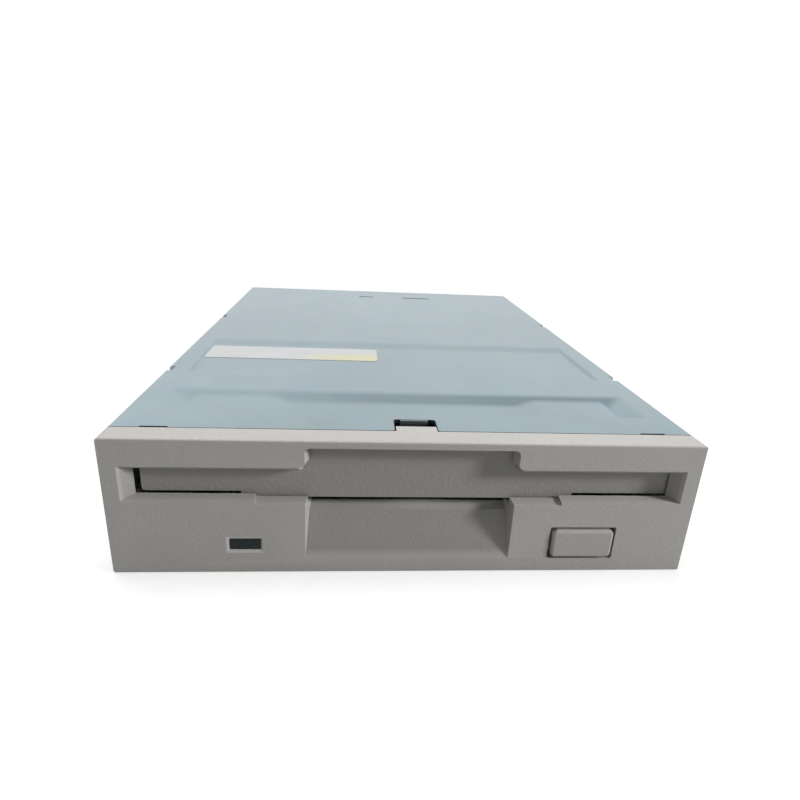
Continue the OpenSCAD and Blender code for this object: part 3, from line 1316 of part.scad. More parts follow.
wing_at = disk_drop / sin(arm_lift_deg);
module upper_arm() color(dark) lifted() difference() {
    union() {
        along_z(arm_low_z, arm_t) {
            polygon([[-5.4, pivot_y + 1], [5.4, pivot_y + 1], [5.4, pivot_y - 8],
                [4.2, head_y - 5], [-4.2, head_y - 5], [-5.4, pivot_y - 8]]);
            translate([0, pivot_y - wing_at - 3]) square([window_half_w + 4, 3]);
        }
        bar_x(pivot_y, arm_pivot_z, 2.4, -5.6, 5.6);
        both_sides() box([3, pivot_y - 16, arm_low_z], [4, pivot_y, arm_low_z + arm_t + 0.8]);
    }
    bar_x(pivot_y, arm_pivot_z, 1 + run_clear, -6, 6);
}
module arm_pin() color(steel) bar_x(pivot_y, arm_pivot_z, 1, -ear_out, ear_out);
module upper_head() color([0.82, 0.8, 0.76]) lifted() along_y(head_y - 3, 6) polygon([
    [-3, arm_low_z], [3, arm_low_z], [3, head_z + 1.6], [2, head_z + 0.3], [-2, head_z + 0.3],
        [-3, head_z + 1.6]]);
// Leaf spring that presses the arm down, on the arm's back
module arm_spring() color(steel) lifted() along_x(-2, 4) polygon([
    [pivot_y - 12, arm_low_z + arm_t], [pivot_y - 12, arm_low_z + arm_t + 0.3],
        [pivot_y - 3, arm_low_z + arm_t + 1.4],
    [pivot_y + 1, arm_low_z + arm_t + 1.4], [pivot_y + 1, arm_low_z + arm_t + 1.1],
        [pivot_y - 3, arm_low_z + arm_t + 1.1],
    [pivot_y - 9, arm_low_z + arm_t]]);

// Flat cable from the carriage down to its socket on the main board
module head_ribbon() color([0.72, 0.45, 0.16]) along_x(-4, 8) {
    y0 = tower_y1;
    z0 = carriage_deck - 0.4;
    polygon([[y0, z0], [y0, z0 - 0.25], [y0 + 2.2, z0 - 0.25], [y0 + 3, z0 - 1.2],
        [y0 + 3, main_board_top + 2],
        [y0 + 3.25, main_board_top + 2], [y0 + 3.25, z0 - 1], [y0 + 2.3, z0]]);
}
module ribbon_socket() color([0.88, 0.87, 0.82])
    box([-5.5, tower_y1 + 2, main_board_top], [5.5, tower_y1 + 4.4, main_board_top + 2]);

// Slotted light sensor that sees the carriage's flag at the outermost track
module track_sensor() color(dark) difference() {
    box([sensor_x - 4, tower_y0 - 1, floor_z], [sensor_x + 3, tower_y0 + 7, flag_z + 3.4]);
    box([sensor_x - 2, tower_y0 - 1 - cut, flag_z - 0.6],
        [sensor_x + 3 + cut, tower_y0 + 7 + cut, flag_z + 1.4]);
}

// Sense switches at the front corners of the diskette
module sense_switches() color(dark) for (x = switch_xs) translate([x, switch_y, floor_z]) difference() {
    box([-2.5, -2.5, 0], [2.5, 2.5, switch_h]);
    translate([0, 0, 0.3]) cylinder(r = plunger_r + run_clear, h = switch_h);
}
module plunger(x) color([0.9, 0.88, 0.8]) translate([x, switch_y, 0]) {
    low = floor_z + 0.4 + plunger_travel;
    translate([0, 0, low]) cylinder(r = plunger_r, h = plunger_top - low - 0.3);
    translate([0, 0, plunger_top - 0.3]) cylinder(r1 = plunger_r, r2 = plunger_r - 0.3, h = 0.3);
}
module write_protect_plunger() plunger(switch_xs[0]);
module density_plunger() plunger(switch_xs[1]);
module disk_in_plunger() plunger(switch_xs[2]);

echo(eject_spring_gap = self_gap(eject_wire, wire_r), door_spring_gap = self_gap(door_wire, door_wire_r),
    lever_spring_gap = self_gap(lever_wire, lever_wire_r));

place() front_bezel();
place() led_lens();
place() status_led();
place() slot_door();
place() door_spring();
place() eject_button();
place() slide_plate();
place() slide_posts();
place() eject_springs();
place() disk_holder();
place() holder_pins();
place() shutter_lever();
place() lever_pivot();
place() lever_spring();
place() top_cover();
place() cover_screws();
place() chassis();
place() motor_board();
place() motor_board_screws();
place() stator_core();
place() stator_coils();
place() spindle_bearing();
place() rotor_cup();
place() rotor_magnet();
place() spindle_shaft();
place() chuck_hub();
place() drive_pin();
place() main_board();
place() board_screws();
place() board_chips();
place() motor_ribbon();
place() signal_header();
place() signal_pins();
place() power_connector();
place() power_pins();
place() stepper_motor();
place() stepper_bracket();
place() bracket_screws();
place() lead_screw();
place() screw_bearing();
place() guide_rod();
place() rod_clamps();
place() head_carriage();
place() lower_head();
place() upper_arm();
place() arm_pin();
place() upper_head();
place() arm_spring();
place() head_ribbon();
place() ribbon_socket();
place() track_sensor();
place() sense_switches();
place() write_protect_plunger();
place() density_plunger();
place() disk_in_plunger();
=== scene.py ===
"""Disk drive dressing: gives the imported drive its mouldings, pressed steel, boards and label."""

import json
import math

import bpy
from bpy.props import FloatProperty, FloatVectorProperty, IntProperty, PointerProperty
from mathutils import Matrix, Vector


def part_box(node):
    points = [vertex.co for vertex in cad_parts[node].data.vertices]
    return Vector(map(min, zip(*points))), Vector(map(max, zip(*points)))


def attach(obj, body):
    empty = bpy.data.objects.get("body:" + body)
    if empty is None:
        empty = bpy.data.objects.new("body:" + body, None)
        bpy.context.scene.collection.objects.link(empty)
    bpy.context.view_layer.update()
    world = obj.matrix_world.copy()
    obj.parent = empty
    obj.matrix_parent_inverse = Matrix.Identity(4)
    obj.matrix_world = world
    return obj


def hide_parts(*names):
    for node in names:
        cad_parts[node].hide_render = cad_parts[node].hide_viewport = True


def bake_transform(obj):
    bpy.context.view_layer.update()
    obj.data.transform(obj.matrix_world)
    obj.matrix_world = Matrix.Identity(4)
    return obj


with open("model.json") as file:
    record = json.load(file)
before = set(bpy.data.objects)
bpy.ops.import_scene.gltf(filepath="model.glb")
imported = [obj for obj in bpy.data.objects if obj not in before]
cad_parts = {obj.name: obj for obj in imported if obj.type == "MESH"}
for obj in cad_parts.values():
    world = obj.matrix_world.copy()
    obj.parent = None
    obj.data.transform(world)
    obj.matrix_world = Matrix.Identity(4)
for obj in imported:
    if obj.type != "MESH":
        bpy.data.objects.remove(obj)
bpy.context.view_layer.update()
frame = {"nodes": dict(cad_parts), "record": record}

bl_info = {
    "name": "Disk Drive Dressing",
    "version": (1, 0, 0),
    "blender": (4, 5, 0),
    "location": "View3D > Sidebar > Disk Drive",
    "description": "Dresses the packed disk drive with its mouldings, pressed steel, boards and label",
    "category": "Object",
}

MM = 0.001
MERGE = 1e-6

# Angles between faces: what counts as one plane, as an edge to round, and as smooth to the eye
SAME_PLANE = math.radians(0.5)
SHARP_EDGE = math.radians(30)
SHARP_SMALL_EDGE = math.radians(35)
SMOOTH_BEND = math.radians(32)
SMOOTH_WIRE_BEND = math.radians(65)
FLAT_FACE_WEIGHT = 80

# Front: depths behind the face where the recesses' painted shade and sand begin and are full, and where the
# window's rim, painted lighter as a highlight, lies
RECESS_DEPTHS = (0.1 * MM, 0.8 * MM)
RIM_DEPTHS = (0.01 * MM, 0.4 * MM)
RIM_REACH = 0.75 * MM

# Cover: where its sheared edges, dull steel with painted shade, end and its pressed area begins, behind the
# front and inside the folds, and the creases' least and greatest bend in degrees
SHEARED_AND_SHADED_REACH = 6.5 * MM
PRESSED_START = 11 * MM
FOLD_WIDTH = 2 * MM
CREASE_BENDS = (2.5, 30)
CREASE_STEPS = 4

# Screws: least area of a head's face in square metres, and the cross's arm and foot as shares of its size
HEAD_AREA = 8e-6
CROSS_ARM = 0.22
CROSS_FOOT = 0.62
SCREW_EDGE = 0.06 * MM

# Lead screw: share of the radius that counts as full, and play between the core and the thread's root
FULL_RADIUS = 0.98
CORE_SHARE = 0.98
THREAD_STEPS = 24

# Rounding of the label's corners, of its edge as a share of its thickness, and of the chips' edges
LABEL_CORNER = 0.8 * MM
LABEL_EDGE_SHARE = 0.4
CHIP_EDGE = 0.05 * MM

# Floor in metres: its radius, and the distances from the middle between which its shadow fades out, and
# the share of plain white that lies over the shadow near the drive
FLOOR_RADIUS = 4.0
SHADOW_REACH = (0.09, 0.26)
SHADOW_CLEAR = 0.55

# Where the lamps aim, in metres, and the camera's sensor, in millimetres
LAMP_AIM = Vector((0, 0, 0.012))
SENSOR_WIDTH = 36

BODY_OF = {
    node: body
    for body, nodes in frame["record"]["behaviour"]["bodies"].items()
    for node in nodes
}


def node_middle(node):
    """Middle of a node's box at rest."""
    low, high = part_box(node)
    return (Vector(low) + Vector(high)) / 2


SPINDLE = node_middle("spindle_shaft")
SCREW = node_middle("lead_screw")


class DriveFinishes(bpy.types.PropertyGroup):
    """Colours and grain of the drive's surfaces."""

    bezel: FloatVectorProperty(
        name="Bezel", description="Grey of the moulded front", subtype="COLOR",
        default=(0.42, 0.41, 0.39), min=0, max=1)
    zinc: FloatVectorProperty(
        name="Zinc sheet", description="Tone of the zinc-coated sheet steel", subtype="COLOR",
        default=(0.318, 0.404, 0.442), min=0, max=1)
    # Partly the raw steel's own dull tone and partly painted shade: the near-black stands in for the shadowed
    # gap that the forward faces look into.
    sheared_and_shaded: FloatVectorProperty(
        name="Sheared edge", description="Tone of the cover's raw sheared edges", subtype="COLOR",
        default=(0.035, 0.042, 0.047), min=0, max=1)
    cast: FloatVectorProperty(
        name="Cast alloy", description="Tone of the die-cast chassis", subtype="COLOR",
        default=(0.58, 0.59, 0.6), min=0, max=1)
    mask: FloatVectorProperty(
        name="Solder mask", description="Green of the circuit boards", subtype="COLOR",
        default=(0.015, 0.1, 0.045), min=0, max=1)
    label: FloatVectorProperty(
        name="Label", description="White of the blank label", subtype="COLOR",
        default=(0.445, 0.455, 0.46), min=0, max=1)
    label_tint: FloatVectorProperty(
        name="Label tint", description="Pale yellow end of the blank label", subtype="COLOR",
        default=(0.49, 0.475, 0.33), min=0, max=1)
    lens: FloatVectorProperty(
        name="Lens", description="Smoked tone of the light window", subtype="COLOR",
        default=(0.012, 0.018, 0.019), min=0, max=1)
    grain: FloatProperty(
        name="Moulding grain", description="Size of the bezel's moulded texture", subtype="DISTANCE",
        default=0.42 * MM, min=0.05 * MM, max=2 * MM, precision=5)


class DriveSizes(bpy.types.PropertyGroup):
    """Sizes of the details that are added to the solids."""

    moulded_edge: FloatProperty(
        name="Moulded edge", description="Rounding of the mouldings' edges", subtype="DISTANCE",
        default=0.22 * MM, min=0, max=1 * MM, precision=5)
    sheet_edge: FloatProperty(
        name="Sheet edge", description="Rounding of pressed and cast edges", subtype="DISTANCE",
        default=0.12 * MM, min=0, max=1 * MM, precision=5)
    crease: FloatProperty(
        name="Crease", description="Half the width of the rounding of the cover's shallow creases",
        subtype="DISTANCE", default=0.9 * MM, min=0, max=2 * MM, precision=5)
    label_low: FloatVectorProperty(
        name="Label corner", description="Front left corner of the label, as x and depth", size=2,
        subtype="XYZ_LENGTH", default=(-45.9 * MM, 48.2 * MM), precision=5)
    label_high: FloatVectorProperty(
        name="Label far corner", description="Rear right corner of the label, as x and depth", size=2,
        subtype="XYZ_LENGTH", default=(-4.5 * MM, 58.6 * MM), precision=5)
    label_sink: FloatProperty(
        name="Label panel depth", description="How far the label's panel lies below the cover's top",
        subtype="DISTANCE", default=0.45 * MM, min=0, max=1 * MM, precision=5)
    label_skin: FloatProperty(
        name="Label thickness", description="Thickness of the label's film", subtype="DISTANCE",
        default=0.08 * MM, min=0.01 * MM, max=0.3 * MM, precision=5)
    thread_pitch: FloatProperty(
        name="Thread pitch", description="Pitch of the lead screw's thread", subtype="DISTANCE",
        default=1.875 * MM, min=0.5 * MM, max=4 * MM, precision=5)
    thread_depth: FloatProperty(
        name="Thread depth", description="Depth of the lead screw's thread", subtype="DISTANCE",
        default=0.4 * MM, min=0.1 * MM, max=0.8 * MM, precision=5)
    rounds: IntProperty(
        name="Edge steps", description="Steps across each rounded edge", default=2, min=1, max=4)


class DriveStage(bpy.types.PropertyGroup):
    """Camera, lamps and floor."""

    camera_place: FloatVectorProperty(
        name="Camera place", description="Where the camera stands", subtype="XYZ_LENGTH",
        default=(-0.01042, -0.15752, 0.06408), precision=5)
    camera_turn: FloatVectorProperty(
        name="Camera turn", description="Tilt, pan and roll of the camera from looking along +Y",
        subtype="EULER", default=(0.3539, -0.0834, 0.02), precision=4)
    camera_lens: FloatProperty(
        name="Lens", description="Focal length on a 36 mm sensor", subtype="DISTANCE_CAMERA",
        default=25.67, min=5, max=200)
    overhead: FloatProperty(
        name="Overhead lamp", description="Power of the soft overhead lamp", subtype="POWER",
        default=7.3, min=0, max=200)
    overhead_place: FloatVectorProperty(
        name="Overhead lamp's place", description="Where the soft overhead lamp hangs",
        subtype="XYZ_LENGTH", default=(-0.12, 0.1, 0.8))
    overhead_size: FloatProperty(
        name="Overhead lamp's size", description="Side of the soft overhead lamp", subtype="DISTANCE",
        default=0.6, min=0.01, max=4)
    side: FloatProperty(
        name="Side lamp", description="Power of the smaller lamp at the right of the front",
        subtype="POWER", default=2.7, min=0, max=200)
    side_place: FloatVectorProperty(
        name="Side lamp's place", description="Where the smaller lamp stands", subtype="XYZ_LENGTH",
        default=(0.48, -0.24, 0.22))
    side_size: FloatProperty(
        name="Side lamp's size", description="Side of the smaller lamp: a small one throws crisp shadows",
        subtype="DISTANCE", default=0.09, min=0.01, max=4)
    sky: FloatProperty(
        name="Sky", description="Strength of the even light around the drive",
        default=0.2, min=0, max=2)
    wall_top: FloatProperty(
        name="Wall's top",
        description="Sine of the white wall's upper edge over the horizon, in reflections",
        default=0.66, min=0, max=1)
    wall_fade: FloatProperty(
        name="Wall's fade", description="Span over which the wall fades into the ceiling, as a sine",
        default=0.14, min=0.01, max=1)
    wall_tilt: FloatProperty(
        name="Wall's tilt", description="How much higher the wall reaches at the left, in reflections",
        default=0.45, min=0, max=2)
    ceiling: FloatProperty(
        name="Ceiling", description="Strength of the ceiling over the wall, in reflections",
        default=0.38, min=0, max=2)
    bounce: FloatProperty(
        name="Floor bounce", description="Share of the light that the floor throws back",
        subtype="FACTOR", default=0.3, min=0, max=1)


def select_only(*pieces):
    """Leaves object mode with just these pieces selected, the first one active."""
    if bpy.context.object and bpy.context.object.mode != "OBJECT":
        bpy.ops.object.mode_set(mode="OBJECT")
    bpy.ops.object.select_all(action="DESELECT")
    for piece in pieces:
        piece.select_set(True)
    bpy.context.view_layer.objects.active = pieces[0]


def apply_modifier(piece, kind, **settings):
    """Adds one modifier with its settings and applies it."""
    modifier = piece.modifiers.new(kind.title(), kind)
    for name, value in settings.items():
        setattr(modifier, name, value)
    select_only(piece)
    bpy.ops.object.modifier_apply(modifier=modifier.name)


def cleaned_copy(node, name):
    """Copies a solid's mesh into a new piece and merges its triangles into whole faces."""
    piece = bpy.data.objects.new(name, frame["nodes"][node].data.copy())
    piece.data.name = name
    piece.data.materials.clear()
    bpy.context.collection.objects.link(piece)
    select_only(piece)
    bpy.ops.object.mode_set(mode="EDIT")
    bpy.ops.mesh.select_all(action="SELECT")
    bpy.ops.mesh.remove_doubles(threshold=MERGE)
    bpy.ops.mesh.dissolve_limited(angle_limit=SAME_PLANE)
    bpy.ops.object.mode_set(mode="OBJECT")
    return piece


def break_edges(piece, width, steps, sharp=SHARP_EDGE):
    """Rounds the sharp edges and shades the rounds smoothly, with the large faces kept flat."""
    apply_modifier(
        piece, "BEVEL", width=width, segments=steps, limit_method="ANGLE", angle_limit=sharp,
        use_clamp_overlap=True, miter_outer="MITER_ARC")
    select_only(piece)
    bpy.ops.object.shade_smooth_by_angle(angle=SMOOTH_BEND)
    apply_modifier(
        piece, "WEIGHTED_NORMAL", mode="FACE_AREA", weight=FLAT_FACE_WEIGHT, keep_sharp=True)


def settle(piece, material, *nodes):
    """Gives a piece its finish and lets it stand for CAD nodes of one body."""
    piece.data.materials.clear()
    piece.data.materials.append(material)
    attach(piece, BODY_OF[nodes[0]])
    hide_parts(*nodes)


def dress(node, width, steps, material):
    """Replaces a CAD node by its own copy with rounded edges."""
    piece = cleaned_copy(node, node + "_finished")
    break_edges(piece, width, steps)
    settle(piece, material, node)
    return piece


def stretched(node, material, axis, leg=0.0):
    """Replaces a spring or cable by a smooth-shaded copy with its finish; its ends, each a leg deep, are
    worked out but not used.
    """
    piece = cleaned_copy(node, node + "_stretched")
    select_only(piece)
    bpy.ops.object.shade_smooth_by_angle(angle=SMOOTH_WIRE_BEND)
    piece.data.materials.append(material)
    low, high = (Vector(corner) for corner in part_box(node))
    index = "XYZ".index(axis)
    start, end = low.copy(), low.copy()
    start[index] += leg
    end[index] = high[index] - leg
    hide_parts(node)
    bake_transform(piece)


def paint(material, *nodes):
    """Gives CAD nodes that keep their own mesh a finish."""
    for node in nodes:
        solid = frame["nodes"][node]
        solid.data.materials.clear()
        solid.data.materials.append(material)


class Finish:
    """One procedural material, with the node calls that all finishes share."""

    def __init__(self, name):
        self.material = bpy.data.materials.new(name)
        self.material.use_nodes = True
        self.tree = self.material.node_tree
        self.tree.nodes.clear()
        self.surface = self.add("ShaderNodeBsdfPrincipled")
        out = self.add("ShaderNodeOutputMaterial")
        self.tree.links.new(self.surface.outputs[0], out.inputs["Surface"])

    def add(self, kind, **values):
        """Adds a node with its settings."""
        node = self.tree.nodes.new(kind)
        for name, value in values.items():
            setattr(node, name, value)
        return node

    def feed(self, node, **inputs):
        """Sets or links inputs by name, where a name's underscores stand for spaces."""
        for name, value in inputs.items():
            socket = node.inputs[name.replace("_", " ")]
            if isinstance(value, bpy.types.NodeSocket):
                self.tree.links.new(value, socket)
            else:
                socket.default_value = value
        return node

    def constants(self, **inputs):
        """Sets the shader's own sockets."""
        self.feed(self.surface, **inputs)
        return self

    def place(self, middle=(0, 0, 0), stretch=(1, 1, 1), turn=(0, 0, 0)):
        """Object coordinates about a middle, stretched and turned."""
        coordinate = self.add("ShaderNodeTexCoord")
        shift = self.add("ShaderNodeMapping", vector_type="POINT")
        self.feed(shift, Vector=coordinate.outputs["Object"], Location=tuple(-c for c in middle))
        scale = self.add("ShaderNodeMapping", vector_type="POINT")
        self.feed(scale, Vector=shift.outputs[0], Scale=stretch, Rotation=turn)
        return scale.outputs[0]

    def noise(self, vector, size, detail=2.0, roughness=0.5):
        """Noise whose features are about size across."""
        node = self.add("ShaderNodeTexNoise")
        self.feed(node, Vector=vector, Scale=1 / size, Detail=detail, Roughness=roughness)
        return node.outputs["Fac"]

    def cells(self, vector, size, feature="F1", output="Distance"):
        """Cell pattern with cells about size across."""
        node = self.add("ShaderNodeTexVoronoi", feature=feature)
        self.feed(node, Vector=vector, Scale=1 / size)
        return node.outputs[output]

    def ramp(self, factor, *stops):
        """Colour ramp through (position, colour) stops, where a number stands for a grey."""
        node = self.add("ShaderNodeValToRGB")
        elements = node.color_ramp.elements
        while len(elements) < len(stops):
            elements.new(0.5)
        for element, (position, colour) in zip(elements, stops):
            element.position = position
            grey = isinstance(colour, (int, float))
            element.color = (colour, colour, colour, 1) if grey else (*colour, 1)
        self.feed(node, Fac=factor)
        return node.outputs["Color"]

    def mix(self, factor, first, second, blend="MIX"):
        """Mixes two colours."""
        node = self.add("ShaderNodeMix", data_type="RGBA", blend_type=blend)
        sockets = (node.inputs[index] for index in (0, 6, 7))
        for socket, value in zip(sockets, (factor, first, second)):
            if isinstance(value, bpy.types.NodeSocket):
                self.tree.links.new(value, socket)
            else:
                socket.default_value = (*value, 1) if isinstance(value, (tuple, list)) else value
        return node.outputs[2]

    def math(self, operation, first, second=0.0):
        """One arithmetic step."""
        node = self.add("ShaderNodeMath", operation=operation)
        for socket, value in zip(node.inputs, (first, second)):
            if isinstance(value, bpy.types.NodeSocket):
                self.tree.links.new(value, socket)
            else:
                socket.default_value = value
        return node.outputs[0]

    def axis(self, vector, name):
        """One coordinate of a vector."""
        node = self.add("ShaderNodeSeparateXYZ")
        self.feed(node, Vector=vector)
        return node.outputs[name]

    def recessed(self, place, face):
        """One on forward surfaces that lie behind the depth of a face, else zero: the mask for the recesses'
        painted shade and sand.
        """
        start, full = (face + depth for depth in RECESS_DEPTHS)
        behind = self.add("ShaderNodeMapRange", interpolation_type="SMOOTHSTEP")
        self.feed(behind, Value=self.axis(place, "Y"), From_Min=start, From_Max=full)
        normal = self.add("ShaderNodeNewGeometry").outputs["Normal"]
        ahead = self.math("MULTIPLY", self.axis(normal, "Y"), -1.0)
        forward = self.add("ShaderNodeMapRange", interpolation_type="SMOOTHSTEP")
        self.feed(forward, Value=ahead, From_Min=0.3, From_Max=0.8)
        return self.math("MULTIPLY", behind.outputs[0], forward.outputs[0])

    def view_share(self):
        """One for rays that the eye, a reflection or glass sends out, else zero."""
        path = self.add("ShaderNodeLightPath").outputs
        seen = self.math("MAXIMUM", path["Is Camera Ray"], path["Is Glossy Ray"])
        return self.math("MAXIMUM", seen, path["Is Transmission Ray"])

    def bump(self, height, depth, strength=1.0):
        """Raises the surface by a height pattern, on top of earlier bumps."""
        node = self.add("ShaderNodeBump")
        self.feed(node, Height=height, Distance=depth, Strength=strength)
        earlier = self.surface.inputs["Normal"].links
        if earlier:
            self.tree.links.new(earlier[0].from_socket, node.inputs["Normal"])
        self.feed(self.surface, Normal=node.outputs[0])


def shade(colour, factor):
    """The same colour, lighter or darker."""
    return tuple(min(1.0, c * factor) for c in colour)


def moulded_plastic(name, colour, grain, depth, roughness, gloss_spread=0.08, face=None):
    """Moulded plastic with a fine eroded grain and faint patches, with painted shade and a sandy bump in the
    recesses behind a face.
    """
    finish = Finish(name)
    place = finish.place()
    patches = finish.noise(place, 14 * MM, 3.0)
    speck = finish.noise(place, grain * 0.6, 2.0, 0.6)
    tones = finish.ramp(patches, (0.3, shade(colour, 0.95)), (0.7, shade(colour, 1.025)))
    base = finish.mix(finish.ramp(speck, (0.38, 1.0), (0.52, 0.0)), tones, shade(colour, 0.9))
    if face is not None:
        recess_shade_and_sand = finish.recessed(place, face)
        # Painted shade: forward faces in the recesses get a darker copy of the colour.
        base = finish.mix(recess_shade_and_sand, base, shade(colour, 0.68))
        sand = finish.math("MULTIPLY", finish.noise(place, 0.5 * MM, 1.0), recess_shade_and_sand)
        finish.bump(sand, 0.1 * MM, 0.6)
    rough = finish.ramp(speck, (0.3, roughness + gloss_spread), (0.7, roughness - gloss_spread))
    finish.constants(Base_Color=base, Roughness=rough, Specular_IOR_Level=0.4)
    finish.bump(finish.cells(place, grain), depth, 0.35)
    finish.bump(speck, depth * 0.7, 0.35)
    return finish.material


def zinc_sheet(name, colour, roughness=0.26):
    """Rolled sheet steel with a zinc coat: faint crystals, rolling streaks and handling marks."""
    finish = Finish(name)
    place = finish.place()
    crystals = finish.cells(place, 6 * MM, output="Color")
    streaks = finish.noise(finish.place(stretch=(1, 0.02, 1)), 0.35 * MM, 2.0)
    clouds = finish.noise(place, 38 * MM, 3.0, 0.55)
    tone = finish.ramp(clouds, (0.28, shade(colour, 0.9)), (0.72, shade(colour, 1.06)))
    tone = finish.mix(0.025, tone, crystals, "OVERLAY")
    tone = finish.mix(finish.ramp(streaks, (0.35, 0.0), (0.7, 0.06)), tone, shade(colour, 0.78))
    rough = finish.math("ADD", finish.math("MULTIPLY", streaks, 0.05), roughness - 0.025)
    rough = finish.math("ADD", rough, finish.math("MULTIPLY", clouds, 0.08))
    finish.constants(Base_Color=tone, Roughness=rough, Metallic=0.75)
    finish.bump(finish.noise(place, 9 * MM, 2.0), 0.02 * MM, 0.5)
    return finish.material


def machined_metal(name, colour, roughness, size=0.3 * MM, along=(1, 0.06, 1), metallic=1.0):
    """Drawn or turned metal with fine lines along one direction."""
    finish = Finish(name)
    lines = finish.noise(finish.place(stretch=along), size, 2.0)
    clouds = finish.noise(finish.place(), 8 * MM, 2.0)
    tone = finish.ramp(clouds, (0.3, shade(colour, 0.88)), (0.7, shade(colour, 1.06)))
    tone = finish.mix(finish.ramp(lines, (0.4, 0.0), (0.75, 0.3)), tone, shade(colour, 0.72))
    finish.constants(
        Base_Color=tone, Metallic=metallic,
        Roughness=finish.ramp(lines, (0.25, roughness - 0.06), (0.75, roughness + 0.1)))
    finish.bump(lines, 0.004 * MM, 0.5)
    return finish.material


def cast_alloy(name, colour):
    """Die-cast alloy with a fine grain, flow marks and darker pits."""
    finish = Finish(name)
    place = finish.place()
    grain = finish.noise(place, 0.3 * MM, 3.0, 0.6)
    flow = finish.noise(finish.place(stretch=(1, 0.35, 1)), 22 * MM, 4.0, 0.6)
    pits = finish.cells(place, 0.9 * MM)
    tone = finish.ramp(flow, (0.3, shade(colour, 0.8)), (0.7, shade(colour, 1.05)))
    tone = finish.mix(finish.ramp(pits, (0.04, 0.45), (0.14, 0.0)), tone, shade(colour, 0.5))
    finish.constants(
        Base_Color=tone, Metallic=0.75, Roughness=finish.ramp(grain, (0.3, 0.42), (0.7, 0.62)))
    finish.bump(grain, 0.03 * MM, 0.45)
    return finish.material


def circuit_board(name, colour):
    """Laminate under solder mask, with copper runs and tinned through-holes showing."""
    finish = Finish(name)
    place = finish.place()
    runs = finish.add("ShaderNodeTexBrick", offset=0.37, offset_frequency=3, squash=1.0)
    finish.feed(
        runs, Vector=place, Scale=1.0, Mortar_Size=0.16 * MM, Mortar_Smooth=0.1, Brick_Width=7.3 * MM,
        Row_Height=0.9 * MM)
    holes = finish.cells(place, 2.6 * MM)
    ring = finish.ramp(holes, (0.0, 0.0), (0.085, 0.0), (0.09, 1.0), (0.15, 1.0), (0.155, 0.0))
    patch = finish.noise(place, 9 * MM, 1.0)
    shown = finish.math("MULTIPLY", runs.outputs["Fac"], finish.ramp(patch, (0.45, 0.0), (0.5, 1.0)))
    tone = finish.mix(shown, colour, shade(colour, 1.9))
    tone = finish.mix(ring, tone, (0.55, 0.56, 0.55))
    finish.constants(
        Base_Color=tone, Metallic=finish.math("MULTIPLY", ring, 0.8), Specular_IOR_Level=0.5,
        Roughness=finish.ramp(patch, (0.3, 0.3), (0.7, 0.42)))
    finish.bump(finish.math("ADD", shown, ring), 0.03 * MM, 0.6)
    return finish.material


def film_cable(name, film, run, pitch):
    """Flat cable with its conductors showing through the film."""
    finish = Finish(name)
    place = finish.place()
    phase = finish.math("FRACT", finish.math("DIVIDE", finish.axis(place, "X"), pitch))
    conductors = finish.ramp(phase, (0.3, 0.0), (0.36, 1.0), (0.7, 1.0), (0.76, 0.0))
    tone = finish.ramp(finish.noise(place, 3 * MM), (0.3, shade(film, 0.9)), (0.7, shade(film, 1.06)))
    finish.constants(Base_Color=finish.mix(conductors, tone, run), Roughness=0.32, Coat_Weight=0.3)
    finish.bump(conductors, 0.04 * MM, 0.6)
    return finish.material


def copper_winding(name):
    """Turns of enamelled copper wire, wound about each stator tooth, with painted shade: each crown lighter
    and each groove between turns darker.
    """
    finish = Finish(name)
    place = finish.place(SPINDLE)
    radius = finish.add("ShaderNodeVectorMath", operation="LENGTH")
    flat = finish.place(SPINDLE, stretch=(1, 1, 0))
    finish.feed(radius, Vector=flat)
    phase = finish.math("FRACT", finish.math("DIVIDE", radius.outputs["Value"], 0.28 * MM))
    crown_and_shade = finish.math("SINE", finish.math("MULTIPLY", phase, math.pi))
    # Painted shade and highlight: the colour follows each turn's crown, dark in the grooves and light on top.
    tone = finish.ramp(crown_and_shade, (0.1, (0.12, 0.035, 0.012)), (0.7, (0.55, 0.2, 0.075)))
    worn = finish.noise(place, 1.6 * MM)
    finish.constants(
        Base_Color=finish.mix(finish.ramp(worn, (0.5, 0.0), (0.8, 0.3)), tone, (0.6, 0.3, 0.13)),
        Metallic=0.85, Roughness=0.34)
    finish.bump(crown_and_shade, 0.12 * MM, 0.8)
    return finish.material


def smoked_lens(name, colour):
    """Smoked clear plastic with a dark depth and a faint haze."""
    finish = Finish(name)
    place = finish.place()
    haze = finish.noise(place, 1.4 * MM, 3.0)
    tone = finish.ramp(haze, (0.3, shade(colour, 0.8)), (0.75, shade(colour, 1.6)))
    finish.constants(
        Base_Color=tone, Roughness=finish.ramp(haze, (0.3, 0.2), (0.8, 0.34)), Specular_IOR_Level=0.15)
    finish.bump(finish.noise(place, 0.5 * MM), 0.006 * MM, 0.5)
    return finish.material


def label_film(name, colour, tint, low, high):
    """Blank printed film: white, with a pale yellow field at its right end and handling marks."""
    finish = Finish(name)
    place = finish.place()
    across, along = (
        finish.math("DIVIDE", finish.math("SUBTRACT", finish.axis(place, axis), near), far - near)
        for axis, near, far in zip("XY", low, high))
    right = finish.ramp(across, (0.5, 0.0), (0.78, 1.0))
    front = finish.ramp(along, (0.46, 1.0), (0.52, 0.0))
    field = finish.math("MULTIPLY", right, front)
    fade = finish.noise(place, 6 * MM, 2.0)
    tone = finish.mix(field, colour, tint)
    tone = finish.mix(finish.ramp(fade, (0.4, 0.0), (0.8, 0.14)), tone, shade(colour, 0.8))
    finish.constants(Base_Color=tone, Roughness=finish.ramp(fade, (0.3, 0.4), (0.7, 0.52)))
    finish.bump(finish.noise(place, 1.2 * MM), 0.008 * MM, 0.5)
    return finish.material


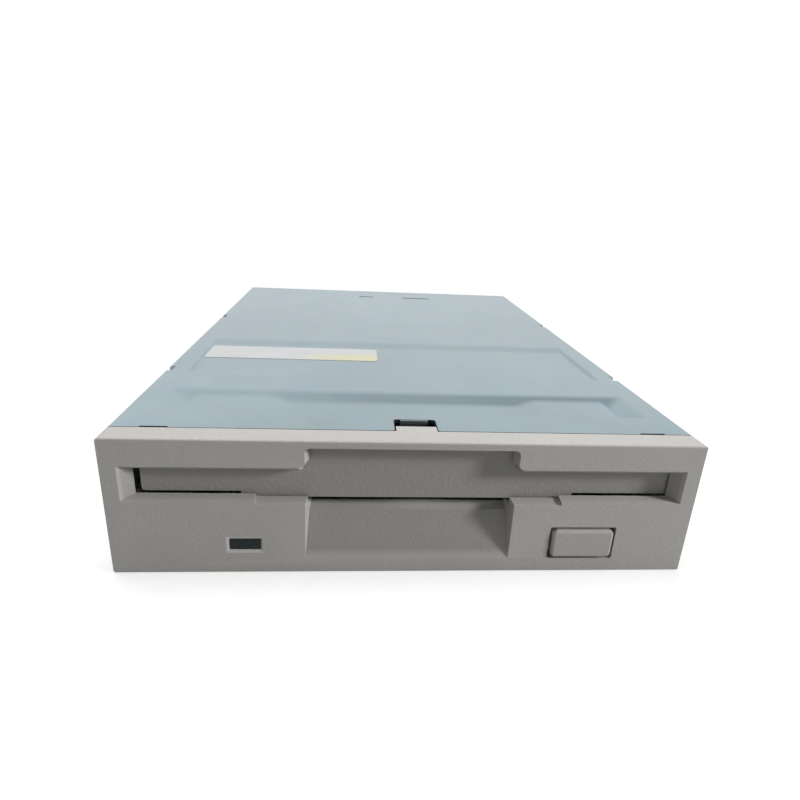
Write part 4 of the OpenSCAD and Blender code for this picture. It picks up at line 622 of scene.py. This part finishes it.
def floor_finish(bounce):
    """Pale floor: white to the eye with a soft shadow, and calmer in what it throws back."""
    finish = Finish("pale_floor")
    tree = finish.tree
    tree.nodes.remove(finish.surface)
    out = next(n for n in tree.nodes if n.type == "OUTPUT_MATERIAL")
    place = finish.place()
    reach = finish.add("ShaderNodeVectorMath", operation="LENGTH")
    finish.feed(reach, Vector=place)
    ring = finish.add("ShaderNodeMapRange", interpolation_type="SMOOTHSTEP")
    finish.feed(
        ring, Value=reach.outputs["Value"], From_Min=SHADOW_REACH[0], From_Max=SHADOW_REACH[1],
        To_Min=SHADOW_CLEAR, To_Max=1.0)
    speck = finish.noise(place, 4 * MM, 2.0)
    seen = finish.add("ShaderNodeBsdfDiffuse")
    finish.feed(seen, Color=finish.ramp(speck, (0.3, 0.94), (0.7, 0.97)))
    glow = finish.add("ShaderNodeEmission")
    finish.feed(glow, Strength=1.0)
    eye = finish.add("ShaderNodeMixShader")
    tree.links.new(ring.outputs[0], eye.inputs[0])
    tree.links.new(seen.outputs[0], eye.inputs[1])
    tree.links.new(glow.outputs[0], eye.inputs[2])
    dull = finish.add("ShaderNodeBsdfDiffuse")
    finish.feed(dull, Color=(bounce, bounce, bounce, 1))
    last = finish.add("ShaderNodeMixShader")
    tree.links.new(finish.view_share(), last.inputs[0])
    tree.links.new(dull.outputs[0], last.inputs[1])
    tree.links.new(eye.outputs[0], last.inputs[2])
    tree.links.new(last.outputs[0], out.inputs["Surface"])
    return finish.material


def settings():
    """The scene's finish, size and stage settings."""
    scene = bpy.context.scene
    return scene.drive_finishes, scene.drive_sizes, scene.drive_stage


class DRIVE_OT_stage(bpy.types.Operator):
    """Sets up the camera, the lamps, the pale floor and the white surroundings"""

    bl_idname = "drive.stage"
    bl_label = "Set the Stage"

    def execute(self, context):
        stage = settings()[2]
        scene = context.scene
        scene.view_settings.view_transform = "Standard"
        self.camera(scene, stage)
        self.lamps(stage)
        self.surroundings(scene, stage)
        bpy.ops.object.select_all(action="DESELECT")
        bpy.ops.mesh.primitive_circle_add(vertices=96, radius=FLOOR_RADIUS, fill_type="NGON")
        floor = context.object
        floor.name = "floor"
        floor.data.materials.append(floor_finish(stage.bounce))
        return {"FINISHED"}

    def camera(self, scene, stage):
        """Adds the camera, which looks along +Y before its turn."""
        tilt, pan, roll = stage.camera_turn
        ahead = Matrix(((1, 0, 0), (0, 0, -1), (0, 1, 0)))
        turn = (Matrix.Rotation(roll, 3, "Z") @ Matrix.Rotation(pan, 3, "Y")
                @ Matrix.Rotation(tilt, 3, "X") @ ahead)
        axes = Matrix((turn[0], -turn[1], -turn[2])).transposed()
        bpy.ops.object.camera_add(location=stage.camera_place, rotation=axes.to_euler())
        camera = bpy.context.object
        camera.data.sensor_width = SENSOR_WIDTH
        camera.data.lens = stage.camera_lens
        camera.data.clip_start = 1 * MM
        scene.camera = camera

    def lamps(self, stage):
        """Adds both lamps, turned to the drive's middle."""
        for name, power, size, place in (
                ("overhead_lamp", stage.overhead, stage.overhead_size, stage.overhead_place),
                ("side_lamp", stage.side, stage.side_size, stage.side_place)):
            aim = LAMP_AIM - Vector(place)
            bpy.ops.object.light_add(
                type="AREA", location=place, rotation=aim.to_track_quat("-Z", "Y").to_euler())
            lamp = bpy.context.object
            lamp.name = name
            lamp.data.energy = power
            lamp.data.size = size
            lamp.visible_glossy = False

    def surroundings(self, scene, stage):
        """White to the eye; metal and glass show a white wall, higher at the left, under a darker ceiling."""
        world = scene.world or bpy.data.worlds.new("surroundings")
        scene.world = world
        world.use_nodes = True
        tree = world.node_tree
        tree.nodes.clear()
        path = tree.nodes.new("ShaderNodeLightPath").outputs
        way = tree.nodes.new("ShaderNodeTexCoord")
        parts = tree.nodes.new("ShaderNodeSeparateXYZ")
        tree.links.new(way.outputs["Generated"], parts.inputs[0])
        wall = tree.nodes.new("ShaderNodeMapRange")
        wall.interpolation_type = "SMOOTHSTEP"
        wall.inputs["From Min"].default_value = stage.wall_top
        wall.inputs["From Max"].default_value = stage.wall_top + stage.wall_fade
        wall.inputs["To Min"].default_value = 1.0
        wall.inputs["To Max"].default_value = stage.ceiling
        height = tree.nodes.new("ShaderNodeMath")
        height.operation = "MULTIPLY_ADD"
        height.inputs[1].default_value = stage.wall_tilt
        tree.links.new(parts.outputs["X"], height.inputs[0])
        tree.links.new(parts.outputs["Z"], height.inputs[2])
        tree.links.new(height.outputs[0], wall.inputs["Value"])
        mirrored = self.larger(tree, path["Is Glossy Ray"], path["Is Transmission Ray"])
        light = tree.nodes.new("ShaderNodeMapRange")
        light.inputs["To Min"].default_value = stage.sky
        tree.links.new(mirrored, light.inputs["Value"])
        tree.links.new(wall.outputs[0], light.inputs["To Max"])
        strength = self.larger(tree, light.outputs[0], path["Is Camera Ray"])
        backdrop = tree.nodes.new("ShaderNodeBackground")
        tree.links.new(strength, backdrop.inputs["Strength"])
        backdrop.inputs["Color"].default_value = (1, 1, 1, 1)
        out = tree.nodes.new("ShaderNodeOutputWorld")
        tree.links.new(backdrop.outputs[0], out.inputs["Surface"])

    def larger(self, tree, first, second):
        """The larger of two values."""
        node = tree.nodes.new("ShaderNodeMath")
        node.operation = "MAXIMUM"
        tree.links.new(first, node.inputs[0])
        tree.links.new(second, node.inputs[1])
        return node.outputs[0]


class DRIVE_OT_front(bpy.types.Operator):
    """Makes the bezel, its light window, the slot door and the eject button"""

    bl_idname = "drive.front"
    bl_label = "Make the Front"

    def execute(self, context):
        finishes, sizes, _ = settings()
        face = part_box("front_bezel")[0][1]
        moulding = moulded_plastic(
            "moulded_front", tuple(finishes.bezel), finishes.grain, 0.05 * MM, 0.55, face=face)
        smooth = moulded_plastic(
            "moulded_button", shade(finishes.bezel, 0.93), finishes.grain, 0.025 * MM, 0.46)
        # Painted highlight: the window's rim is a lighter copy of the bezel's grey.
        rim_highlight = moulded_plastic(
            "moulded_rim_highlight", shade(finishes.bezel, 1.3), finishes.grain, 0.02 * MM, 0.5)
        resin = moulded_plastic("cloudy_resin", (0.62, 0.66, 0.58), 0.6 * MM, 0.004 * MM, 0.2)
        lens = smoked_lens("smoked_lens", tuple(finishes.lens))
        bezel = dress("front_bezel", sizes.moulded_edge, sizes.rounds, moulding)
        self.rim(bezel, rim_highlight, face)
        dress("slot_door", sizes.moulded_edge, sizes.rounds, moulding)
        dress("eject_button", sizes.moulded_edge, sizes.rounds, smooth)
        dress("led_lens", sizes.sheet_edge, sizes.rounds, lens)
        paint(resin, "status_led")
        return {"FINISHED"}

    def rim(self, bezel, material, face):
        """Gives the sunken rim around the light window its painted highlight, a paler copy of the moulding.
        """
        low, high = (Vector(corner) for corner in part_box("led_lens"))
        bezel.data.materials.append(material)
        for side in bezel.data.polygons:
            middle = side.center
            around = all(low[i] - RIM_REACH < middle[i] < high[i] + RIM_REACH for i in (0, 2))
            if around and RIM_DEPTHS[0] < middle.y - face < RIM_DEPTHS[1]:
                side.material_index = 1


class DRIVE_OT_cover(bpy.types.Operator):
    """Makes the pressed cover"""

    bl_idname = "drive.cover"
    bl_label = "Make the Cover"

    def execute(self, context):
        finishes, sizes, _ = settings()
        zinc = zinc_sheet("zinc_cover", tuple(finishes.zinc))
        # Painted shade as well as dull raw steel: the cover's forward faces near the front and the notch get
        # this near-black finish.
        sheared_and_shaded = machined_metal("sheared_steel_and_shade", tuple(finishes.sheared_and_shaded), 0.55, metallic=0.4)
        cover = cleaned_copy("top_cover", "top_cover_finished")
        self.round_creases(cover, sizes.crease)
        break_edges(cover, sizes.sheet_edge, sizes.rounds, SHARP_SMALL_EDGE)
        settle(cover, zinc, "top_cover")
        self.dull_and_shade_edges(cover, sheared_and_shaded)
        return {"FINISHED"}

    def dull_and_shade_edges(self, cover, material):
        """Gives the sheared front edge, the notch and its bent tab their near-black finish: dull raw steel,
        with painted shade where they face forward into shadow.
        """
        behind_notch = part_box("top_cover")[0][1] + SHEARED_AND_SHADED_REACH
        cover.data.materials.append(material)
        for face in cover.data.polygons:
            forward = face.normal.y < -0.55
            if forward and face.center.y < behind_notch:
                face.material_index = 1

    def round_creases(self, cover, width):
        """Rounds the shallow creases that are pressed into the cover's top."""
        select_only(cover)
        bpy.ops.object.mode_set(mode="EDIT")
        bpy.ops.mesh.select_mode(type="EDGE")
        bpy.ops.mesh.select_all(action="DESELECT")
        bpy.ops.object.mode_set(mode="OBJECT")
        low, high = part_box("top_cover")
        behind_front, inside_fold = low[1] + PRESSED_START, high[0] - FOLD_WIDTH
        least, most = CREASE_BENDS
        meeting = {}
        for face in cover.data.polygons:
            for key in face.edge_keys:
                meeting.setdefault(key, []).append(face.normal.copy())
        for edge in cover.data.edges:
            first, second = meeting[edge.key]
            bend = math.degrees(first.angle(second))
            ends = [cover.data.vertices[i].co for i in edge.vertices]
            pressed = (max(end.y for end in ends) > behind_front
                       and max(abs(end.x) for end in ends) < inside_fold)
            upward = min(first.z, second.z) > 0.9
            edge.select = pressed and upward and least < bend < most
        bpy.ops.object.mode_set(mode="EDIT")
        bpy.ops.mesh.bevel(offset=width, segments=CREASE_STEPS, affect="EDGES", clamp_overlap=True)
        bpy.ops.object.mode_set(mode="OBJECT")


class DRIVE_OT_label(bpy.types.Operator):
    """Lays the blank label on the cover's shallow panel"""

    bl_idname = "drive.label"
    bl_label = "Lay the Label"

    def execute(self, context):
        finishes, sizes, _ = settings()
        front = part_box("front_bezel")[0][1]
        low = (sizes.label_low[0], front + sizes.label_low[1])
        high = (sizes.label_high[0], front + sizes.label_high[1])
        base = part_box("top_cover")[1][2] - sizes.label_sink
        bpy.ops.object.select_all(action="DESELECT")
        middle = ((low[0] + high[0]) / 2, (low[1] + high[1]) / 2, base)
        bpy.ops.mesh.primitive_plane_add(size=1, location=middle)
        label = context.object
        label.name = label.data.name = "blank_label"
        label.scale = (high[0] - low[0], high[1] - low[1], 1)
        bpy.ops.object.transform_apply(location=True, rotation=True, scale=True)
        bpy.ops.object.mode_set(mode="EDIT")
        bpy.ops.mesh.select_all(action="SELECT")
        bpy.ops.mesh.bevel(offset=LABEL_CORNER, segments=4, affect="VERTICES")
        bpy.ops.object.mode_set(mode="OBJECT")
        apply_modifier(label, "SOLIDIFY", thickness=sizes.label_skin, offset=1.0)
        apply_modifier(
            label, "BEVEL", width=sizes.label_skin * LABEL_EDGE_SHARE, segments=1, limit_method="ANGLE")
        label.data.materials.append(
            label_film("blank_film", tuple(finishes.label), tuple(finishes.label_tint), low, high))
        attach(label, BODY_OF["top_cover"])
        return {"FINISHED"}


class DRIVE_OT_chassis(bpy.types.Operator):
    """Makes the die-cast chassis"""

    bl_idname = "drive.chassis"
    bl_label = "Make the Chassis"

    def execute(self, context):
        finishes, sizes, _ = settings()
        cast = cast_alloy("cast_chassis", tuple(finishes.cast))
        dress("chassis", sizes.sheet_edge, sizes.rounds, cast)
        return {"FINISHED"}


class DRIVE_OT_screws(bpy.types.Operator):
    """Cuts cross recesses into the screw heads"""

    bl_idname = "drive.screws"
    bl_label = "Cut the Screw Heads"

    def execute(self, context):
        bright = machined_metal("bright_screw", (0.62, 0.63, 0.64), 0.3, 0.2 * MM, (1, 1, 1))
        for node, axis, size, depth in (
                ("cover_screws", "X", 2.6 * MM, 0.5 * MM),
                ("motor_board_screws", "Z", 2.0 * MM, 0.45 * MM),
                ("board_screws", "Z", 2.2 * MM, 0.5 * MM),
                ("bracket_screws", "Z", 2.0 * MM, 0.45 * MM)):
            self.crossed(node, axis, size, depth, bright)
        return {"FINISHED"}

    def crossed(self, node, axis, size, depth, material):
        """Replaces a group of screws by copies with a cross sunk into each head."""
        piece = cleaned_copy(node, node + "_crossed")
        cutters = [
            self.cross(place, outward, size, depth) for place, outward in self.heads(piece, axis)]
        select_only(*cutters)
        bpy.ops.object.join()
        cutter = bpy.context.object
        apply_modifier(piece, "BOOLEAN", operation="DIFFERENCE", solver="EXACT", object=cutter)
        bpy.data.objects.remove(cutter, do_unlink=True)
        break_edges(piece, SCREW_EDGE, 1, SHARP_SMALL_EDGE)
        settle(piece, material, node)

    def heads(self, piece, axis):
        """Middle of each head's outer face, with the direction that it faces."""
        index = "XYZ".index(axis)
        return [
            (piece.matrix_world @ face.center, face.normal.copy()) for face in piece.data.polygons
            if abs(face.normal[index]) > 0.99 and face.area > HEAD_AREA]

    def cross(self, place, outward, size, depth):
        """Tapered cross that sinks into a head's face."""
        bpy.ops.object.select_all(action="DESELECT")
        arms = []
        for turn in (0, math.pi / 2):
            bpy.ops.mesh.primitive_cube_add(size=1)
            arm = bpy.context.object
            arm.scale = (size, size * CROSS_ARM, depth * 2)
            arm.rotation_euler = (0, 0, turn)
            bpy.ops.object.transform_apply(location=True, rotation=True, scale=True)
            bpy.ops.object.mode_set(mode="EDIT")
            bpy.ops.mesh.select_all(action="DESELECT")
            bpy.ops.object.mode_set(mode="OBJECT")
            for face in arm.data.polygons:
                face.select = face.normal.z < -0.9
            bpy.ops.object.mode_set(mode="EDIT")
            bpy.ops.transform.resize(value=(CROSS_FOOT, CROSS_FOOT, 1))
            bpy.ops.object.mode_set(mode="OBJECT")
            arms.append(arm)
        apply_modifier(arms[0], "BOOLEAN", operation="UNION", solver="EXACT", object=arms[1])
        bpy.data.objects.remove(arms[1], do_unlink=True)
        cross = arms[0]
        cross.rotation_euler = outward.to_track_quat("Z", "Y").to_euler()
        cross.location = place
        select_only(cross)
        bpy.ops.object.transform_apply(location=True, rotation=True, scale=True)
        return cross


class DRIVE_OT_loader(bpy.types.Operator):
    """Finishes the slide plate, the holder, the lever and the springs"""

    bl_idname = "drive.loader"
    bl_label = "Finish the Loader"

    def execute(self, context):
        finishes, sizes, _ = settings()
        zinc = zinc_sheet("zinc_inner", tuple(finishes.zinc), 0.32)
        steel = machined_metal("drawn_steel", (0.5, 0.51, 0.52), 0.32)
        spring = machined_metal("spring_wire", (0.46, 0.45, 0.43), 0.28, 0.15 * MM, (1, 1, 1))
        nylon = moulded_plastic("natural_nylon", (0.74, 0.72, 0.65), 0.5 * MM, 0.01 * MM, 0.42)
        black = moulded_plastic("black_switch", (0.016, 0.017, 0.018), 0.5 * MM, 0.015 * MM, 0.45)
        for node, finish in (("disk_holder", zinc), ("shutter_lever", zinc), ("slide_plate", steel)):
            dress(node, sizes.sheet_edge, 1, finish)
        paint(steel, "slide_posts", "holder_pins", "lever_pivot")
        stretched("eject_springs", spring, "Y")
        stretched("door_spring", spring, "X", 0.5 * MM)
        stretched("lever_spring", spring, "Z", 0.45 * MM)
        paint(black, "sense_switches")
        paint(nylon, "write_protect_plunger", "density_plunger", "disk_in_plunger")
        return {"FINISHED"}


class DRIVE_OT_spindle(bpy.types.Operator):
    """Finishes the spindle motor and the chuck"""

    bl_idname = "drive.spindle"
    bl_label = "Finish the Spindle"

    def execute(self, context):
        finishes, sizes, _ = settings()
        zinc = zinc_sheet("zinc_rotor", shade(finishes.zinc, 0.96), 0.3)
        iron = machined_metal("laminated_iron", (0.3, 0.3, 0.31), 0.42, 0.12 * MM, (0.05, 0.05, 1))
        bronze = machined_metal("sintered_bronze", (0.5, 0.34, 0.14), 0.42, 0.2 * MM, (1, 1, 1))
        ferrite = moulded_plastic("ferrite_ring", (0.022, 0.022, 0.024), 0.3 * MM, 0.02 * MM, 0.6)
        ground = machined_metal("ground_shaft", (0.6, 0.61, 0.62), 0.18, 0.2 * MM, (0.1, 0.1, 1))
        black = moulded_plastic("black_chuck", (0.02, 0.021, 0.022), 0.4 * MM, 0.012 * MM, 0.38)
        dress("rotor_cup", sizes.sheet_edge, 1, zinc)
        paint(iron, "stator_core")
        paint(copper_winding("wound_copper"), "stator_coils")
        paint(bronze, "spindle_bearing")
        paint(ferrite, "rotor_magnet")
        paint(ground, "spindle_shaft", "drive_pin")
        dress("chuck_hub", sizes.sheet_edge, 1, black)
        return {"FINISHED"}


class DRIVE_OT_heads(bpy.types.Operator):
    """Finishes the stepper motor, the screw, the carriage and the heads"""

    bl_idname = "drive.heads"
    bl_label = "Finish the Head Mechanism"

    def execute(self, context):
        finishes, sizes, _ = settings()
        steel = machined_metal("bracket_steel", (0.5, 0.51, 0.52), 0.34)
        rod = machined_metal("ground_rod", (0.62, 0.63, 0.64), 0.16, 0.2 * MM, (1, 0.05, 1))
        black = moulded_plastic("black_moulding", (0.018, 0.019, 0.02), 0.4 * MM, 0.012 * MM, 0.42)
        ceramic = moulded_plastic(
            "polished_ceramic", (0.66, 0.63, 0.56), 0.6 * MM, 0.002 * MM, 0.16, gloss_spread=0.04)
        bronze = machined_metal("screw_bronze", (0.5, 0.34, 0.14), 0.4, 0.2 * MM, (1, 1, 1))
        can = zinc_sheet("zinc_can", tuple(finishes.zinc), 0.3)
        for node, finish in (("stepper_motor", can), ("head_carriage", black), ("upper_arm", black)):
            dress(node, sizes.sheet_edge, 1, finish)
        paint(black, "rod_clamps", "track_sensor")
        paint(steel, "stepper_bracket", "arm_pin", "arm_spring")
        paint(rod, "guide_rod")
        paint(bronze, "screw_bearing")
        paint(ceramic, "lower_head", "upper_head")
        self.threaded_screw(sizes, rod)
        return {"FINISHED"}

    def threaded_screw(self, sizes, material):
        """Replaces the plain screw by one with its thread cut, on the same ends."""
        low, high = (Vector(corner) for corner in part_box("lead_screw"))
        outer = (high.x - low.x) / 2
        root = outer - sizes.thread_depth
        start, end = self.thick_stretch(outer)
        pitch = sizes.thread_pitch
        flank = ((0, outer), (0.25, outer), (0.4, root), (0.75, root), (0.9, outer), (1, outer))
        profile = [(radius, start + (share - 1) * pitch, 0) for share, radius in flank]
        mesh = bpy.data.meshes.new("lead_screw_threaded")
        mesh.from_pydata(profile, [(i, i + 1) for i in range(len(profile) - 1)], [])
        thread = bpy.data.objects.new("lead_screw_threaded", mesh)
        bpy.context.collection.objects.link(thread)
        turns = int((end - start) / pitch) + 3
        apply_modifier(
            thread, "SCREW", axis="Y", screw_offset=pitch, iterations=turns, steps=THREAD_STEPS,
            render_steps=THREAD_STEPS, use_merge_vertices=True, merge_threshold=MERGE,
            use_smooth_shade=False)
        thread.location = (SCREW.x, 0, SCREW.z)
        select_only(thread)
        bpy.ops.object.transform_apply(location=True, rotation=True, scale=True)
        for station, keep_low in ((end, True), (start, False)):
            bpy.ops.object.mode_set(mode="EDIT")
            bpy.ops.mesh.select_all(action="SELECT")
            bpy.ops.mesh.remove_doubles(threshold=MERGE)
            bpy.ops.mesh.bisect(
                plane_co=(0, station, 0), plane_no=(0, 1, 0), use_fill=True, clear_outer=keep_low,
                clear_inner=not keep_low)
            bpy.ops.object.mode_set(mode="OBJECT")
        bpy.ops.object.mode_set(mode="EDIT")
        bpy.ops.mesh.select_all(action="SELECT")
        bpy.ops.mesh.normals_make_consistent(inside=False)
        bpy.ops.object.mode_set(mode="OBJECT")
        ends = self.thinned_core(outer, root)
        select_only(thread, ends)
        bpy.ops.object.join()
        bpy.ops.object.shade_smooth_by_angle(angle=SMOOTH_BEND)
        settle(thread, material, "lead_screw")

    def thick_stretch(self, outer):
        """Ends of the stretch where the screw has its full radius."""
        places = [vertex.co for vertex in frame["nodes"]["lead_screw"].data.vertices]
        full = [place.y for place in places if self.radius(place) > outer * FULL_RADIUS]
        return min(full), max(full)

    def radius(self, place):
        """Distance from the screw's axis."""
        return math.hypot(place.x - SCREW.x, place.z - SCREW.z)

    def thinned_core(self, outer, root):
        """Copy of the plain screw whose thick stretch is drawn in to the thread's root."""
        core = cleaned_copy("lead_screw", "screw_core")
        for vertex in core.data.vertices:
            vertex.select = self.radius(vertex.co) > outer * FULL_RADIUS
        for kind in (core.data.edges, core.data.polygons):
            for element in kind:
                element.select = all(core.data.vertices[i].select for i in element.vertices)
        select_only(core)
        bpy.ops.object.mode_set(mode="EDIT")
        share = root / outer * CORE_SHARE
        bpy.ops.transform.resize(
            value=(share, 1, share), center_override=(SCREW.x, SCREW.y, SCREW.z), orient_type="GLOBAL")
        bpy.ops.object.mode_set(mode="OBJECT")
        return core


class DRIVE_OT_boards(bpy.types.Operator):
    """Finishes the boards, the chips, the cables and the connectors"""

    bl_idname = "drive.boards"
    bl_label = "Finish the Boards"

    def execute(self, context):
        finishes, sizes, _ = settings()
        mask = circuit_board("solder_mask", tuple(finishes.mask))
        black = moulded_plastic("chip_compound", (0.018, 0.018, 0.019), 0.25 * MM, 0.01 * MM, 0.55)
        nylon = moulded_plastic("white_nylon", (0.76, 0.74, 0.68), 0.5 * MM, 0.012 * MM, 0.4)
        gold = machined_metal("gold_flash", (0.78, 0.56, 0.2), 0.24)
        tin = machined_metal("tin_plate", (0.6, 0.6, 0.59), 0.3)
        paint(mask, "motor_board", "main_board")
        white = film_cable("white_cable", (0.78, 0.79, 0.77), (0.5, 0.5, 0.5), 1.0 * MM)
        amber = film_cable("amber_cable", (0.5, 0.2, 0.035), (0.62, 0.3, 0.1), 0.8 * MM)
        dress("board_chips", CHIP_EDGE, 1, black)
        dress("signal_header", sizes.sheet_edge, 1, black)
        dress("power_connector", sizes.sheet_edge, 1, nylon)
        paint(nylon, "ribbon_socket")
        paint(gold, "signal_pins")
        paint(tin, "power_pins")
        paint(white, "motor_ribbon")
        stretched("head_ribbon", amber, "Y")
        return {"FINISHED"}


class DRIVE_PT_dressing(bpy.types.Panel):
    """Lists the dressing steps and their settings"""

    bl_idname = "DRIVE_PT_dressing"
    bl_label = "Disk Drive Dressing"
    bl_space_type = "VIEW_3D"
    bl_region_type = "UI"
    bl_category = "Disk Drive"

    def draw(self, context):
        layout = self.layout
        for step in STEPS:
            layout.operator(step.bl_idname)
        for group in settings():
            box = layout.box()
            for name in group.bl_rna.properties.keys():
                if name not in ("rna_type", "name"):
                    box.prop(group, name)


GROUPS = {"drive_finishes": DriveFinishes, "drive_sizes": DriveSizes, "drive_stage": DriveStage}
STEPS = (
    DRIVE_OT_stage, DRIVE_OT_front, DRIVE_OT_cover, DRIVE_OT_label, DRIVE_OT_chassis, DRIVE_OT_screws,
    DRIVE_OT_loader, DRIVE_OT_spindle, DRIVE_OT_heads, DRIVE_OT_boards)
CLASSES = (*GROUPS.values(), *STEPS, DRIVE_PT_dressing)


def register():
    for cls in CLASSES:
        bpy.utils.register_class(cls)
    for name, group in GROUPS.items():
        setattr(bpy.types.Scene, name, PointerProperty(type=group))


def unregister():
    for name in GROUPS:
        delattr(bpy.types.Scene, name)
    for cls in reversed(CLASSES):
        bpy.utils.unregister_class(cls)


def main():
    register()
    for step in STEPS:
        family, name = step.bl_idname.split(".")
        getattr(getattr(bpy.ops, family), name)()


if __name__ == "__main__":
    main()
